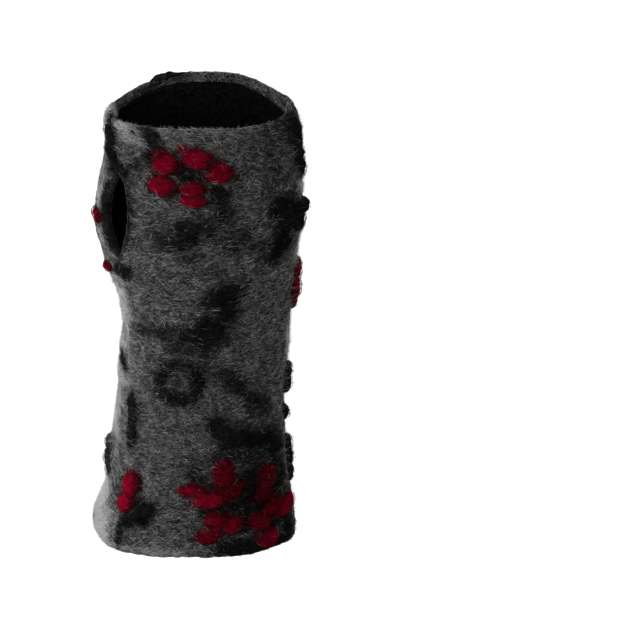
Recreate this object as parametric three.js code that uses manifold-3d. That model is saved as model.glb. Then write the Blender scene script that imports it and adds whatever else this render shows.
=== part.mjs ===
// A felted wool wrist warmer for the left hand, lying on the back of the hand with its palm side up.
// Millimetres. +Z is up, X runs across the palm with the thumb side at -X, and Y runs from the forearm
// hem at -Y to the finger end at +Y. The origin is the middle of the footprint, on the surface.
//
// It is a fulled wool tube with a fleece tube sewn inside. One side seam runs the whole length on the
// thumb side and is left open for the thumb. Tufts of red and black roving are felted onto the outside.

import * as THREE from "three";
import { mergeVertices } from "three/addons/utils/BufferGeometryUtils.js";
import Module from "manifold-3d";

const wasm = await Module();
wasm.setup();

// Cloth
const FELT_THICKNESS = 3.0;
const FLEECE_THICKNESS = 1.2;
const FLEECE_GAP = 0.75; // between felt and fleece
const ROVING_GAP = 0.3; // between felt and a tuft's underside
const FELT_EDGE_ROUND = 2.2; // how far the middle of a hem's edge stands past its corners
const FLEECE_EDGE_ROUND = 0.6;
const SEAM_DIP = 1.0; // depth of the valley along the side seam

// Cross-section: an oval whose lower half is squarer, because it rests on a surface
const EQUATOR_SHARE = 0.44; // height of the widest level over the whole height
const PALM_POWER = 2.15; // superellipse power of the upper half
const BACK_POWER = 3.0; // superellipse power of the half that rests
const PRESSED = 0.9; // how much of the round underside the surface presses flat

// Rows from the forearm to the fingers. left, right: the outline's X. height: of the oval.
// seam: degrees that the side seam stands above the left side's widest level.
const SECTIONS = [
  { y: -131, left: -48.0, right: 46.0, height: 50, seam: 38 },
  { y: -122, left: -54.2, right: 49.6, height: 51, seam: 38 },
  { y: -112, left: -56.5, right: 50.2, height: 51, seam: 39 },
  { y: -103, left: -53.5, right: 49.2, height: 50, seam: 40 },
  { y: -91, left: -49.3, right: 47.4, height: 49, seam: 39 },
  { y: -68, left: -45.8, right: 46.3, height: 48, seam: 36 },
  { y: -45, left: -41.7, right: 46.2, height: 46, seam: 32 },
  { y: -22, left: -39.4, right: 47.2, height: 45, seam: 27 },
  { y: 0, left: -37.0, right: 48.0, height: 45, seam: 22 },
  { y: 11, left: -37.6, right: 48.8, height: 45, seam: 22 },
  { y: 22, left: -40.4, right: 50.1, height: 46, seam: 27 },
  { y: 33, left: -44.0, right: 51.7, height: 47, seam: 36 },
  { y: 44, left: -46.4, right: 53.2, height: 48, seam: 42 },
  { y: 55, left: -48.2, right: 54.6, height: 48, seam: 44 },
  { y: 66, left: -48.0, right: 54.8, height: 48, seam: 44 },
  { y: 76, left: -46.2, right: 54.6, height: 48, seam: 43 },
  { y: 86, left: -43.4, right: 55.0, height: 48, seam: 39 },
  { y: 96, left: -41.8, right: 55.6, height: 48, seam: 30 },
  { y: 105, left: -41.4, right: 55.3, height: 47, seam: 22 },
  { y: 112, left: -40.0, right: 51.8, height: 46, seam: 17 },
  { y: 119, left: -36.5, right: 45.5, height: 44, seam: 15 },
  { y: 126, left: -31.0, right: 39.0, height: 42, seam: 15 },
];

// Where each end of the tube lies along Y, every 30 degrees round it. Angle 0 is the right side, 90 the
// palm, 180 the thumb side and 270 the back of the hand, which is cut longer.
const ENDS = [
  { angle: 0, finger: 116.5, forearm: -123.5 },
  { angle: 30, finger: 112.5, forearm: -121.5 },
  { angle: 60, finger: 110.0, forearm: -121.6 },
  { angle: 90, finger: 109.0, forearm: -122.0 },
  { angle: 120, finger: 109.3, forearm: -122.4 },
  { angle: 150, finger: 109.4, forearm: -122.5 },
  { angle: 180, finger: 113.0, forearm: -112.5 },
  { angle: 210, finger: 115.0, forearm: -113.0 },
  { angle: 240, finger: 121.0, forearm: -117.0 },
  { angle: 270, finger: 125.5, forearm: -121.0 },
  { angle: 300, finger: 123.0, forearm: -124.0 },
  { angle: 330, finger: 117.0, forearm: -125.0 },
];

// Side seam: its own ends along Y, and the thumb opening's ends as shares of its length
const SEAM_FROM = -124;
const SEAM_TO = 110;
const THUMB_FROM = 0.7;
const THUMB_TO = 0.905;
const THUMB_WIDTH = 11.5;
const THUMB_FULLNESS = 0.75; // under 1 gives a blunter, rounder lens

// How far the fleece stops short of the felt's two ends and of the thumb opening's edges
const FLEECE_INSET = { finger: 4.5, forearm: 8, thumb: 1.6 };
const END_REACH = 6; // the higher, the nearer to the ends the insets stay

// How finely each tube is faceted, round it and along it
const FELT_GRID = { columns: 32, rows: 25 };
const FLEECE_GRID = { columns: 20, rows: 16 };
const PUFF_SIDES = { red: 7, black: 6 };
const PUFF_RINGS = 4;

// Steps of the measuring on the surface
const ROUND_SAMPLES = 360;
const ANGLE_STEP = 0.02;
const SHARE_STEP = 0.02;
const Y_STEP = 1;
const WALK_STEPS = 4;

// Roving. Every tuft is a puff that follows the felt under it. angle and y: its middle. long, wide, high:
// its size. turn: degrees from the way round the tube to its long side, positive towards the fingers.
const TUFT_ROOT = 0.8; // how deep a puff reaches before its underside is cut to the felt
const ROVING = {
  red_rosette_palm_upper: [
    { angle: 107, y: 92.4, long: 14, wide: 12, high: 3.6, turn: 20 },
    { angle: 93, y: 95.7, long: 17, wide: 12, high: 3.8, turn: -20 },
    { angle: 81, y: 87.1, long: 15, wide: 12, high: 3.6, turn: 25 },
    { angle: 92, y: 77.7, long: 15, wide: 13, high: 3.8, turn: -5 },
    { angle: 108, y: 81, long: 15, wide: 12, high: 3.6, turn: 0 },
    { angle: 95, y: 86.6, long: 21, wide: 14, high: 1.6, turn: 0 },
  ],
  red_rosette_palm_lower: [
    { angle: 73, y: -74.5, long: 16, wide: 11, high: 3.2, turn: 80 },
    { angle: 67, y: -84.6, long: 15, wide: 9, high: 3.2, turn: 55 },
    { angle: 91, y: -83.6, long: 15, wide: 8, high: 3.0, turn: -8 },
    { angle: 82, y: -89.1, long: 16, wide: 9, high: 3.6, turn: 5 },
    { angle: 77, y: -101.3, long: 14, wide: 9, high: 3.0, turn: 0 },
    { angle: 68, y: -104.2, long: 12, wide: 9, high: 3.2, turn: 40 },
    { angle: 81, y: -108.8, long: 15, wide: 9, high: 3.4, turn: 15 },
    { angle: 75, y: -93.5, long: 12, wide: 10, high: 1.2, turn: 60 },
  ],
  red_rosette_palm_right: [
    { angle: 40, y: -79.7, long: 15, wide: 9, high: 3.0, turn: 75 },
    { angle: 45, y: -88.3, long: 13, wide: 9, high: 3.0, turn: 40 },
    { angle: 38, y: -96.7, long: 13, wide: 8, high: 2.8, turn: 20 },
    { angle: 22, y: -99.5, long: 17, wide: 9, high: 3.2, turn: 25 },
    { angle: 50, y: -104.1, long: 13, wide: 10, high: 3.4, turn: -5 },
    { angle: 45, y: -112.6, long: 14, wide: 11, high: 3.6, turn: 15 },
    { angle: 40, y: -99, long: 20, wide: 15, high: 1.6, turn: 90 },
  ],
  red_petals_seam: [
    { angle: 133.5, y: -82.8, long: 13.5, wide: 9, high: 4.0, turn: 85 },
    { angle: 136.5, y: -93.2, long: 11.5, wide: 9, high: 4.2, turn: 60 },
  ],
  red_rosette_side: [
    { angle: -4, y: 27, long: 11, wide: 9, high: 3.6, turn: 80 },
    { angle: -1, y: 18, long: 11, wide: 9, high: 4.2, turn: 95 },
    { angle: -8, y: 11, long: 11, wide: 9, high: 3.4, turn: 60 },
    { angle: -22, y: 16, long: 12, wide: 9, high: 3.2, turn: 20 },
    { angle: -20, y: 25, long: 12, wide: 9, high: 3.2, turn: -20 },
  ],
  red_tuft_thumb_upper: [{ angle: 166, y: 60.5, long: 9, wide: 6, high: 2.2, turn: 0 }],
  red_tuft_thumb_lower: [{ angle: 163, y: 33.5, long: 7, wide: 5, high: 2.2, turn: 60 }],
  black_roving_finger_side: [
    { angle: 22, y: 107.5, long: 12, wide: 9, high: 2.4, turn: 70 },
    { angle: 19, y: 99, long: 12, wide: 9, high: 2.2, turn: 80 },
    { angle: 14, y: 91, long: 12, wide: 9, high: 2.4, turn: 75 },
    { angle: 6, y: 83.5, long: 11, wide: 8, high: 2.6, turn: 70 },
  ],
  black_roving_palm_side: [
    { angle: 39, y: 67, long: 12, wide: 9, high: 1.8, turn: 30 },
    { angle: 28, y: 61.5, long: 14, wide: 10, high: 2.2, turn: 0 },
    { angle: 12, y: 63, long: 13, wide: 8, high: 3.0, turn: 10 },
    { angle: -2, y: 62, long: 9, wide: 8, high: 3.8, turn: 0 },
    { angle: 13, y: 56.5, long: 13, wide: 10, high: 2.6, turn: -20 },
    { angle: 38, y: 53, long: 12, wide: 9, high: 1.6, turn: 60 },
    { angle: 38, y: 45, long: 13, wide: 9, high: 1.6, turn: 40 },
  ],
  black_roving_thumb: [
    { angle: 160, y: 103.5, long: 11, wide: 8, high: 2.0, turn: 80 },
    { angle: 157, y: 95.5, long: 12, wide: 9, high: 2.2, turn: 70 },
  ],
  black_roving_palm_upper: [
    { angle: 79, y: 73.5, long: 10, wide: 8, high: 1.4, turn: 90 },
    { angle: 77, y: 66.5, long: 13, wide: 10, high: 1.6, turn: 90 },
    { angle: 84, y: 59.5, long: 13, wide: 9, high: 1.6, turn: 20 },
    { angle: 94, y: 58, long: 13, wide: 10, high: 1.6, turn: 0 },
    { angle: 97, y: 52, long: 14, wide: 9, high: 1.4, turn: 10 },
  ],
  black_roving_wrist: [
    { angle: 82, y: 19, long: 16, wide: 12, high: 1.6, turn: 15 },
    { angle: 76, y: 10.5, long: 14, wide: 11, high: 1.7, turn: 90 },
    { angle: 87, y: 5, long: 15, wide: 12, high: 1.5, turn: 30 },
    { angle: 100, y: 1, long: 15, wide: 8, high: 1.4, turn: 5 },
    { angle: 117, y: 2, long: 18, wide: 7, high: 1.3, turn: -5 },
    { angle: 86, y: -4, long: 18, wide: 11, high: 1.5, turn: 0 },
  ],
  black_roving_ring: [
    { angle: 117, y: -22.5, long: 11, wide: 7, high: 1.5, turn: 60 },
    { angle: 108, y: -18.5, long: 12, wide: 7, high: 1.5, turn: 15 },
    { angle: 97, y: -19, long: 12, wide: 7, high: 1.5, turn: -15 },
    { angle: 90, y: -25, long: 12, wide: 7, high: 1.6, turn: -70 },
    { angle: 91, y: -33, long: 11, wide: 7, high: 1.6, turn: 60 },
    { angle: 101, y: -36.5, long: 13, wide: 7, high: 1.5, turn: 5 },
    { angle: 113, y: -34, long: 11, wide: 7, high: 1.5, turn: -30 },
  ],
  black_roving_streak: [
    { angle: 75, y: -23.5, long: 12, wide: 7, high: 1.5, turn: -30 },
    { angle: 65, y: -28, long: 13, wide: 7, high: 1.6, turn: -35 },
    { angle: 54, y: -33.5, long: 13, wide: 7, high: 1.6, turn: -35 },
    { angle: 44, y: -37.5, long: 12, wide: 7, high: 1.5, turn: -25 },
  ],
  black_roving_forearm: [
    { angle: 78, y: -48.5, long: 13, wide: 9, high: 1.6, turn: -50 },
    { angle: 69, y: -55.5, long: 13, wide: 9, high: 1.6, turn: -40 },
    { angle: 57, y: -57, long: 14, wide: 11, high: 1.7, turn: 10 },
    { angle: 43, y: -59, long: 15, wide: 9, high: 1.7, turn: -15 },
    { angle: 28, y: -63.5, long: 13, wide: 9, high: 1.8, turn: -30 },
  ],
  black_roving_seam: [
    { angle: 143, y: -40, long: 12, wide: 6, high: 1.6, turn: 85 },
    { angle: 140, y: -49, long: 12, wide: 6, high: 1.7, turn: 85 },
    { angle: 138, y: -57.5, long: 11, wide: 6, high: 1.6, turn: 85 },
  ],
  black_roving_hem: [
    { angle: 117, y: -98.5, long: 14, wide: 13, high: 2.6, turn: 0 },
    { angle: 126, y: -104, long: 11, wide: 9, high: 1.8, turn: 60 },
  ],
  black_roving_edge_wrist: [
    { angle: 0, y: -28, long: 11, wide: 8, high: 3.2, turn: 90 },
    { angle: -1, y: -36, long: 11, wide: 8, high: 3.8, turn: 80 },
  ],
  black_roving_edge_middle: [{ angle: -1, y: -52, long: 9, wide: 7, high: 3.0, turn: 90 }],
  black_roving_edge_forearm: [
    { angle: -2, y: -69.8, long: 11, wide: 8, high: 3.2, turn: 90 },
    { angle: -3, y: -77.7, long: 12, wide: 8, high: 3.2, turn: 80 },
    { angle: 1, y: -85.5, long: 11, wide: 8, high: 2.6, turn: 90 },
  ],
  black_roving_thumb_edge: [
    { angle: 181, y: -69, long: 9, wide: 7, high: 3.0, turn: 90 },
    { angle: 178, y: -76, long: 10, wide: 8, high: 3.2, turn: 90 },
    { angle: 170, y: -80.5, long: 9, wide: 7, high: 2.0, turn: 60 },
  ],
};

// Colours of the wool
const GREY_FELT = { color: 0x3c3c3d, roughness: 0.95, metalness: 0 };
const BLACK_FLEECE = { color: 0x0c0c0d, roughness: 1, metalness: 0 };
const ROVING_FINISH = {
  red: { color: 0x6a0a1e, roughness: 0.9, metalness: 0 },
  black: { color: 0x171718, roughness: 0.95, metalness: 0 },
};

const HALF_TURN = Math.PI;
const RADIANS = Math.PI / 180;

// A smooth curve through one column of the section table.
function sectionValue(name, y) {
  const last = SECTIONS.length - 1;
  const at = THREE.MathUtils.clamp(y, SECTIONS[0].y, SECTIONS[last].y);
  const i = Math.max(0, SECTIONS.findIndex((row) => row.y >= at) - 1);
  const slope = (k) => {
    const before = SECTIONS[Math.max(k - 1, 0)];
    const after = SECTIONS[Math.min(k + 1, last)];
    return (after[name] - before[name]) / (after.y - before.y);
  };
  const span = SECTIONS[i + 1].y - SECTIONS[i].y;
  const t = (at - SECTIONS[i].y) / span;
  const from = SECTIONS[i][name];
  const to = SECTIONS[i + 1][name];
  return (
    from * (2 * t ** 3 - 3 * t ** 2 + 1) +
    to * (3 * t ** 2 - 2 * t ** 3) +
    span * (slope(i) * (t ** 3 - 2 * t ** 2 + t) + slope(i + 1) * (t ** 3 - t ** 2))
  );
}

// Y of one end of the tube at an angle, on a smooth closed curve through the table of ends.
function endY(name, angle) {
  const step = (2 * HALF_TURN) / ENDS.length;
  const place = THREE.MathUtils.euclideanModulo(angle, 2 * HALF_TURN) / step;
  const i = Math.floor(place);
  const t = place - i;
  const [before, from, to, after] = [-1, 0, 1, 2].map(
    (k) => ENDS[(i + k + ENDS.length) % ENDS.length][name],
  );
  return (
    from +
    0.5 * t * (to - before) +
    t ** 2 * (before - 2.5 * from + 2 * to - 0.5 * after) +
    t ** 3 * (1.5 * (from - to) + 0.5 * (after - before))
  );
}

const signedPower = (value, power) => Math.sign(value) * Math.abs(value) ** power;

// The point on the outside of the felt at an angle and a Y.
function pointAt(angle, y) {
  const left = sectionValue("left", y);
  const right = sectionValue("right", y);
  const equator = sectionValue("height", y) * EQUATOR_SHARE;
  const crown = sectionValue("height", y) - equator;
  const palm = Math.sin(angle) >= 0;
  const power = 2 / (palm ? PALM_POWER : BACK_POWER);
  const x = (left + right) / 2 + ((right - left) / 2) * signedPower(Math.cos(angle), power);
  const rise = signedPower(Math.sin(angle), power) * (palm ? crown : equator + PRESSED);
  return new THREE.Vector3(x, y, Math.max(0, equator + rise));
}

// The same by share, 0 at the forearm end and 1 at the finger end of a tube that stops short of the felt.
function pointAtShare(angle, share, { finger, forearm }) {
  const y = THREE.MathUtils.lerp(endY("forearm", angle), endY("finger", angle), share);
  const short = THREE.MathUtils.lerp(forearm, -finger, share) * Math.abs(2 * share - 1) ** END_REACH;
  return pointAt(angle, y + short);
}

// The outward direction on the outside of the felt. place gives a point by angle and by Y or share.
function outwardAt(place, angle, along, alongStep) {
  const around = place(angle + ANGLE_STEP, along).sub(place(angle - ANGLE_STEP, along));
  const lengthways = place(angle, along + alongStep).sub(place(angle, along - alongStep));
  return lengthways.cross(around).normalize();
}

// Half the width of the thumb opening at a share of the seam's length.
function thumbHalfWidth(share, extra) {
  const t = (share - THUMB_FROM) / (THUMB_TO - THUMB_FROM);
  if (t <= 0 || t >= 1) return 0;
  return (THUMB_WIDTH / 2 + extra) * Math.sin(HALF_TURN * t) ** THUMB_FULLNESS;
}

// Angles of one row of columns, evenly spaced along the cloth from the seam's palm edge, over the
// palm, round the right side and the back, to the seam's other edge.
function rowAngles(place, share, columns, thumbExtra) {
  const seamY = THREE.MathUtils.lerp(SEAM_FROM, SEAM_TO, share);
  const seam = HALF_TURN - sectionValue("seam", seamY) * RADIANS;
  const sampleStep = (2 * HALF_TURN) / ROUND_SAMPLES;
  const angles = Array.from({ length: ROUND_SAMPLES + 1 }, (_, i) => seam - i * sampleStep);
  const lengths = [0];
  for (let i = 1; i <= ROUND_SAMPLES; i++) {
    const step = place(angles[i - 1], share).distanceTo(place(angles[i], share));
    lengths.push(lengths[i - 1] + step);
  }
  const trim = thumbHalfWidth(share, thumbExtra);
  const cloth = lengths[ROUND_SAMPLES] - 2 * trim;
  let k = 0;
  return Array.from({ length: columns + 1 }, (_, c) => {
    const want = trim + (c / columns) * cloth;
    while (k < ROUND_SAMPLES - 1 && lengths[k + 1] < want) k++;
    const t = (want - lengths[k]) / (lengths[k + 1] - lengths[k]);
    return THREE.MathUtils.lerp(angles[k], angles[k + 1], t);
  });
}

// Shares along the tube: evenly spaced rows, with the thumb opening's two ends among them.
function rowShares(rows) {
  const parts = [
    [0, THUMB_FROM],
    [THUMB_FROM, THUMB_TO],
    [THUMB_TO, 1],
  ];
  const shares = parts.flatMap(([from, to]) => {
    const steps = Math.max(2, Math.round(rows * (to - from)));
    return Array.from({ length: steps }, (_, k) => from + ((to - from) * k) / steps);
  });
  return [...shares, 1];
}

// A cloth tube as one closed body. outer, inner: depths under the felt's outside. finger, forearm and
// thumb: how far it stops short there. round: how far the middle of its ends' edges stands out.
function clothTube({ outer, inner, finger, forearm, thumb, round, columns, rows }) {
  const shares = rowShares(rows);
  const lastRow = shares.length - 1;
  const positions = [];
  const triangles = [];
  const addPoint = (point) => positions.push(point.x, point.y, point.z) / 3 - 1;
  const quad = (a, b, c, d) => triangles.push(a, b, c, a, c, d);
  const short = { finger: finger + round / 2, forearm: forearm + round / 2 };
  const place = (angle, share) => pointAtShare(angle, share, short);

  // One layer of the cloth, as the vertex number of each row and column.
  const layer = (depth) =>
    shares.map((share) => {
      const closed = thumbHalfWidth(share, thumb) === 0;
      const angles = rowAngles(place, share, columns, thumb);
      return angles.map((angle, c) => {
        const atSeam = closed && (c === 0 || c === columns);
        const at = atSeam ? angles[0] : angle;
        const outward = outwardAt(place, at, share, SHARE_STEP);
        const point = place(at, share).addScaledVector(outward, atSeam ? -depth - SEAM_DIP : -depth);
        point.z = Math.max(point.z, depth);
        return addPoint(point);
      });
    });
  const outside = layer(outer);
  const inside = layer(inner);

  for (let r = 0; r < lastRow; r++) {
    for (let c = 0; c < columns; c++) {
      quad(outside[r][c], outside[r][c + 1], outside[r + 1][c + 1], outside[r + 1][c]);
      quad(inside[r][c], inside[r + 1][c], inside[r + 1][c + 1], inside[r][c + 1]);
    }
    const open = thumbHalfWidth((shares[r] + shares[r + 1]) / 2, thumb) > 0;
    if (open) {
      quad(outside[r][0], outside[r + 1][0], inside[r + 1][0], inside[r][0]);
      quad(inside[r][columns], inside[r + 1][columns], outside[r + 1][columns], outside[r][columns]);
    }
  }

  // Each end is closed over a ridge halfway through the cloth, which rounds its edge.
  for (const [r, sign] of [
    [0, -1],
    [lastRow, 1],
  ]) {
    const ridge = outside[r].map((number, c) => {
      const middle = new THREE.Vector3().fromArray(positions, 3 * number);
      middle.add(new THREE.Vector3().fromArray(positions, 3 * inside[r][c])).multiplyScalar(0.5);
      middle.y += sign * round;
      return addPoint(middle);
    });
    for (let c = 0; c < columns; c++) {
      const [from, to] = sign > 0 ? [c, c + 1] : [c + 1, c];
      quad(outside[r][from], outside[r][to], ridge[to], ridge[from]);
      quad(ridge[from], ridge[to], inside[r][to], inside[r][from]);
    }
  }

  const geometry = new THREE.BufferGeometry();
  geometry.setAttribute("position", new THREE.Float32BufferAttribute(positions, 3));
  geometry.setIndex(triangles);
  return mergeVertices(geometry, 1e-3);
}

// The place a distance round the tube from an angle, towards the right side over the palm.
function walkRound(angle, y, distance) {
  let at = angle;
  for (let i = 0; i < WALK_STEPS; i++) {
    const probed = pointAt(at + ANGLE_STEP, y).distanceTo(pointAt(at - ANGLE_STEP, y));
    const perRadian = probed / (2 * ANGLE_STEP);
    at -= distance / WALK_STEPS / perRadian;
  }
  return at;
}

// One puff of roving, laid over the felt. Its lower half reaches just into the felt.
function tuft({ angle, y, long, wide, high, turn }, sides) {
  const geometry = new THREE.SphereGeometry(1, sides, PUFF_RINGS).rotateX(HALF_TURN / 2);
  geometry.deleteAttribute("normal");
  geometry.deleteAttribute("uv");
  const puff = mergeVertices(geometry, 1e-4);
  const position = puff.getAttribute("position");
  const direction = turn * RADIANS;
  for (let i = 0; i < position.count; i++) {
    const a = (position.getX(i) * long) / 2;
    const b = (position.getY(i) * wide) / 2;
    const rise = position.getZ(i) * (position.getZ(i) > 0 ? high : TUFT_ROOT);
    const across = a * Math.cos(direction) - b * Math.sin(direction);
    const along = a * Math.sin(direction) + b * Math.cos(direction);
    const at = walkRound(angle * RADIANS, y + along, across);
    const outward = outwardAt(pointAt, at, y + along, Y_STEP);
    const point = pointAt(at, y + along).addScaledVector(outward, ROVING_GAP + rise);
    position.setXYZ(i, point.x, point.y, point.z);
  }
  return puff;
}

// A closed mesh as a solid that can be joined and cut.
function solidOf(geometry) {
  return new wasm.Manifold(
    new wasm.Mesh({
      numProp: 3,
      vertProperties: new Float32Array(geometry.getAttribute("position").array),
      triVerts: new Uint32Array(geometry.getIndex().array),
    }),
  );
}

function geometryOf(solid) {
  const mesh = solid.getMesh();
  const geometry = new THREE.BufferGeometry();
  geometry.setAttribute("position", new THREE.BufferAttribute(new Float32Array(mesh.vertProperties), 3));
  geometry.setIndex(new THREE.BufferAttribute(new Uint32Array(mesh.triVerts), 1));
  return geometry;
}

function addPiece(group, name, geometry, finish) {
  const mesh = new THREE.Mesh(geometry, new THREE.MeshStandardMaterial(finish));
  mesh.name = name;
  group.add(mesh);
}

const wristWarmer = new THREE.Group();

const feltShell = clothTube({
  outer: 0,
  inner: FELT_THICKNESS,
  finger: 0,
  forearm: 0,
  thumb: 0,
  round: FELT_EDGE_ROUND,
  ...FELT_GRID,
});
addPiece(wristWarmer, "felt_shell", feltShell, GREY_FELT);

const fleeceLining = clothTube({
  outer: FELT_THICKNESS + FLEECE_GAP,
  inner: FELT_THICKNESS + FLEECE_GAP + FLEECE_THICKNESS,
  ...FLEECE_INSET,
  round: FLEECE_EDGE_ROUND,
  ...FLEECE_GRID,
});
addPiece(wristWarmer, "fleece_lining", fleeceLining, BLACK_FLEECE);

// The felt a little thicker, which cuts the undersides of the tufts clear of it
const tuftCutter = solidOf(
  clothTube({
    outer: -ROVING_GAP,
    inner: FELT_THICKNESS,
    finger: -ROVING_GAP,
    forearm: -ROVING_GAP,
    thumb: -ROVING_GAP,
    round: FELT_EDGE_ROUND,
    ...FELT_GRID,
  }),
);
for (const [name, rows] of Object.entries(ROVING)) {
  const wool = name.split("_")[0];
  const puffs = rows.map((row) => solidOf(tuft(row, PUFF_SIDES[wool])));
  const joined = puffs.reduce((whole, puff) => whole.add(puff)).subtract(tuftCutter);
  addPiece(wristWarmer, name, geometryOf(joined), ROVING_FINISH[wool]);
}

// The tables' own middle lies a little off the footprint's, so every piece is moved by the difference.
const footprint = new THREE.Box3().setFromObject(wristWarmer).getCenter(new THREE.Vector3());
for (const piece of wristWarmer.children) piece.position.set(-footprint.x, -footprint.y, 0);

export default wristWarmer;
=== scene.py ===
"""Looks of a felted wool wrist warmer for the left hand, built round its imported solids.

The felt tube, its fleece lining, every tuft of roving and the loose hairs are made here as meshes.
Tables are in millimetres and degrees, as the part's own are. Meshes are in metres.
"""

import logging
import math
from dataclasses import dataclass, field
from enum import Enum

import bmesh
import bpy
import numpy as np
from mathutils import Matrix, Vector, noise
from mathutils.kdtree import KDTree


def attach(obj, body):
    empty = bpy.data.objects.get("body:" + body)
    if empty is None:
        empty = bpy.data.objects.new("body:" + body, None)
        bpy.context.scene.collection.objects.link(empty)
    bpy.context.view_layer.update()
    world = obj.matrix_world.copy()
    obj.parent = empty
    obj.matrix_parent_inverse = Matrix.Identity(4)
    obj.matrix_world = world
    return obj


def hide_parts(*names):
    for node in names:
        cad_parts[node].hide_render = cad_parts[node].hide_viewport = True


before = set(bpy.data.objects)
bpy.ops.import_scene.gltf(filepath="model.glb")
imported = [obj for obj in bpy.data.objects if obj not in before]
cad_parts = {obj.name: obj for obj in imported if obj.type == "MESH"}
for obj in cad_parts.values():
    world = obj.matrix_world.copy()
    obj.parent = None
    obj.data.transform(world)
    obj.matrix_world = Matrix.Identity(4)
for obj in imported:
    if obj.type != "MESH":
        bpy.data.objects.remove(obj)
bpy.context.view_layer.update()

log = logging.getLogger("wrist_warmer")

Colour = tuple[float, float, float]
Waves = tuple[tuple[float, float], ...]  # length and height in millimetres of each layer of waves
Socket = bpy.types.NodeSocket

MM = 0.001
FULL_TURN = 2 * math.pi
SMALLEST = 1e-9  # keeps a division clear of zero
SLIVER = 1e-6  # keeps a place just inside its grid, and off the middle of a puff
WELD = 1e-6  # metres within which two points of a seam are one
BODY = "root"
PUFF_STEEPNESS = 0.75  # 1 gives round puffs, less gives steeper sides and a flatter top
LOW_TUFT = 1.8  # tufts up to this height count as low
SUNK_SHARE = 0.6  # how much of a low tuft's height is left once it is felted in
LEAST_ON_RED = 0.02  # how densely hairs of other colours grow on red wool
PALE_AND_HIGHLIGHT_THINNING = 0.45  # how much pale wool and painted highlight thin the darker coats
LEAST_ON_PALE_AND_HIGHLIGHT = 0.14  # how densely the darker coats still grow on the palest wool and brightest painted highlight
BLACK_OVER_VEIL = 1.2  # how densely black hairs grow over red wool that is dimmed


class Wool(Enum):
    """The two colours of roving that are felted on."""

    RED = "red_roving"
    BLACK = "black_roving"


@dataclass(frozen=True)
class Section:
    """One cross-section of the tube: its outline's X on both sides, its height and its seam's rise."""

    y: float
    left: float
    right: float
    height: float
    seam: float


@dataclass(frozen=True)
class End:
    """Where the tube ends along Y at one angle round it."""

    angle: float
    finger: float
    forearm: float


@dataclass(frozen=True)
class Tuft:
    """One puff of roving: the place of its middle, its size, its turn and how bright its wool is."""

    angle: float
    y: float
    long: float
    wide: float
    high: float
    turn: float
    bright: float = 1.0


@dataclass(frozen=True)
class FlatSpot:
    """A flat spot by its place on the tube, used for roving felted in flat, for painted shade and for pale
    wool and painted highlight.
    """

    angle: float
    y: float
    long: float
    wide: float
    turn: float
    depth: float = 1.0


class HairTone(Enum):
    """The colours of the loose hairs, as their darkest and palest tone."""

    LIGHT = ((0.1, 0.1, 0.1005), (0.5, 0.5, 0.503))
    MIDDLE = ((0.025, 0.025, 0.0252), (0.13, 0.13, 0.131))
    DARK = ((0.002, 0.002, 0.0021), (0.012, 0.012, 0.0121))
    RED = ((0.035, 0.0004, 0.002), (0.24, 0.004, 0.018))


@dataclass(frozen=True)
class Coat:
    """One coat of loose hairs: how many there are, their sizes and how far their strays stand up."""

    name: str
    tone: HairTone
    slot: str
    count: int
    shortest: float
    longest: float
    width: float
    lift: float
    stray: float
    rise: float
    segments: int
    seed: int


@dataclass(frozen=True)
class Growth:
    """How densely a coat grows on black wool and painted shade, where bare felt has 1, and how much more on
    pale wool and painted highlight.

    power bends the way from black to bare, thinned coats grow less on pale wool and painted highlight, and
    on_veil is what grows over red wool that is dimmed.
    """

    on_black: float
    power: float = 1.0
    on_pale_and_highlight: float = 0.0
    thinned: bool = False
    on_veil: float = 0.0


@dataclass(frozen=True)
class Pressed:
    """A patch of roving on the side that the tube lies on, by its X and Y."""

    x: float
    y: float
    long: float
    wide: float
    turn: float
    wool: Wool = Wool.BLACK


SECTIONS = (
    Section(-131, -48.0, 49.0, 50, 38),
    Section(-122, -54.2, 50.8, 51, 38),
    Section(-112, -56.5, 50.6, 51, 39),
    Section(-103, -53.5, 49.2, 50, 40),
    Section(-91, -49.3, 47.4, 49, 39),
    Section(-68, -45.6, 45.5, 48, 36),
    Section(-45, -41.5, 44.8, 46, 32),
    Section(-22, -39.2, 46.2, 45, 27),
    Section(0, -36.8, 47.4, 45, 22),
    Section(11, -37.4, 48.4, 45, 22),
    Section(22, -40.4, 50.1, 46, 27),
    Section(33, -44.0, 51.7, 47, 34),
    Section(44, -46.4, 53.2, 48, 39),
    Section(55, -48.2, 54.6, 48, 41),
    Section(66, -48.0, 54.8, 48, 41),
    Section(76, -46.2, 54.6, 48, 40),
    Section(86, -43.4, 55.0, 48, 36),
    Section(96, -41.8, 55.6, 48, 29),
    Section(105, -41.4, 55.0, 47, 22),
    Section(112, -40.0, 51.6, 46, 17),
    Section(119, -36.5, 46.0, 44, 15),
    Section(126, -31.0, 39.0, 42, 15),
)

ENDS = (
    End(0, 116.5, -123.5),
    End(30, 112.5, -121.5),
    End(60, 110.0, -121.6),
    End(90, 109.0, -122.0),
    End(120, 109.3, -122.4),
    End(150, 109.4, -122.5),
    End(180, 113.0, -112.5),
    End(210, 115.0, -113.0),
    End(240, 121.0, -117.0),
    End(270, 125.5, -121.0),
    End(300, 123.0, -124.0),
    End(330, 117.0, -125.0),
)

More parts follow.
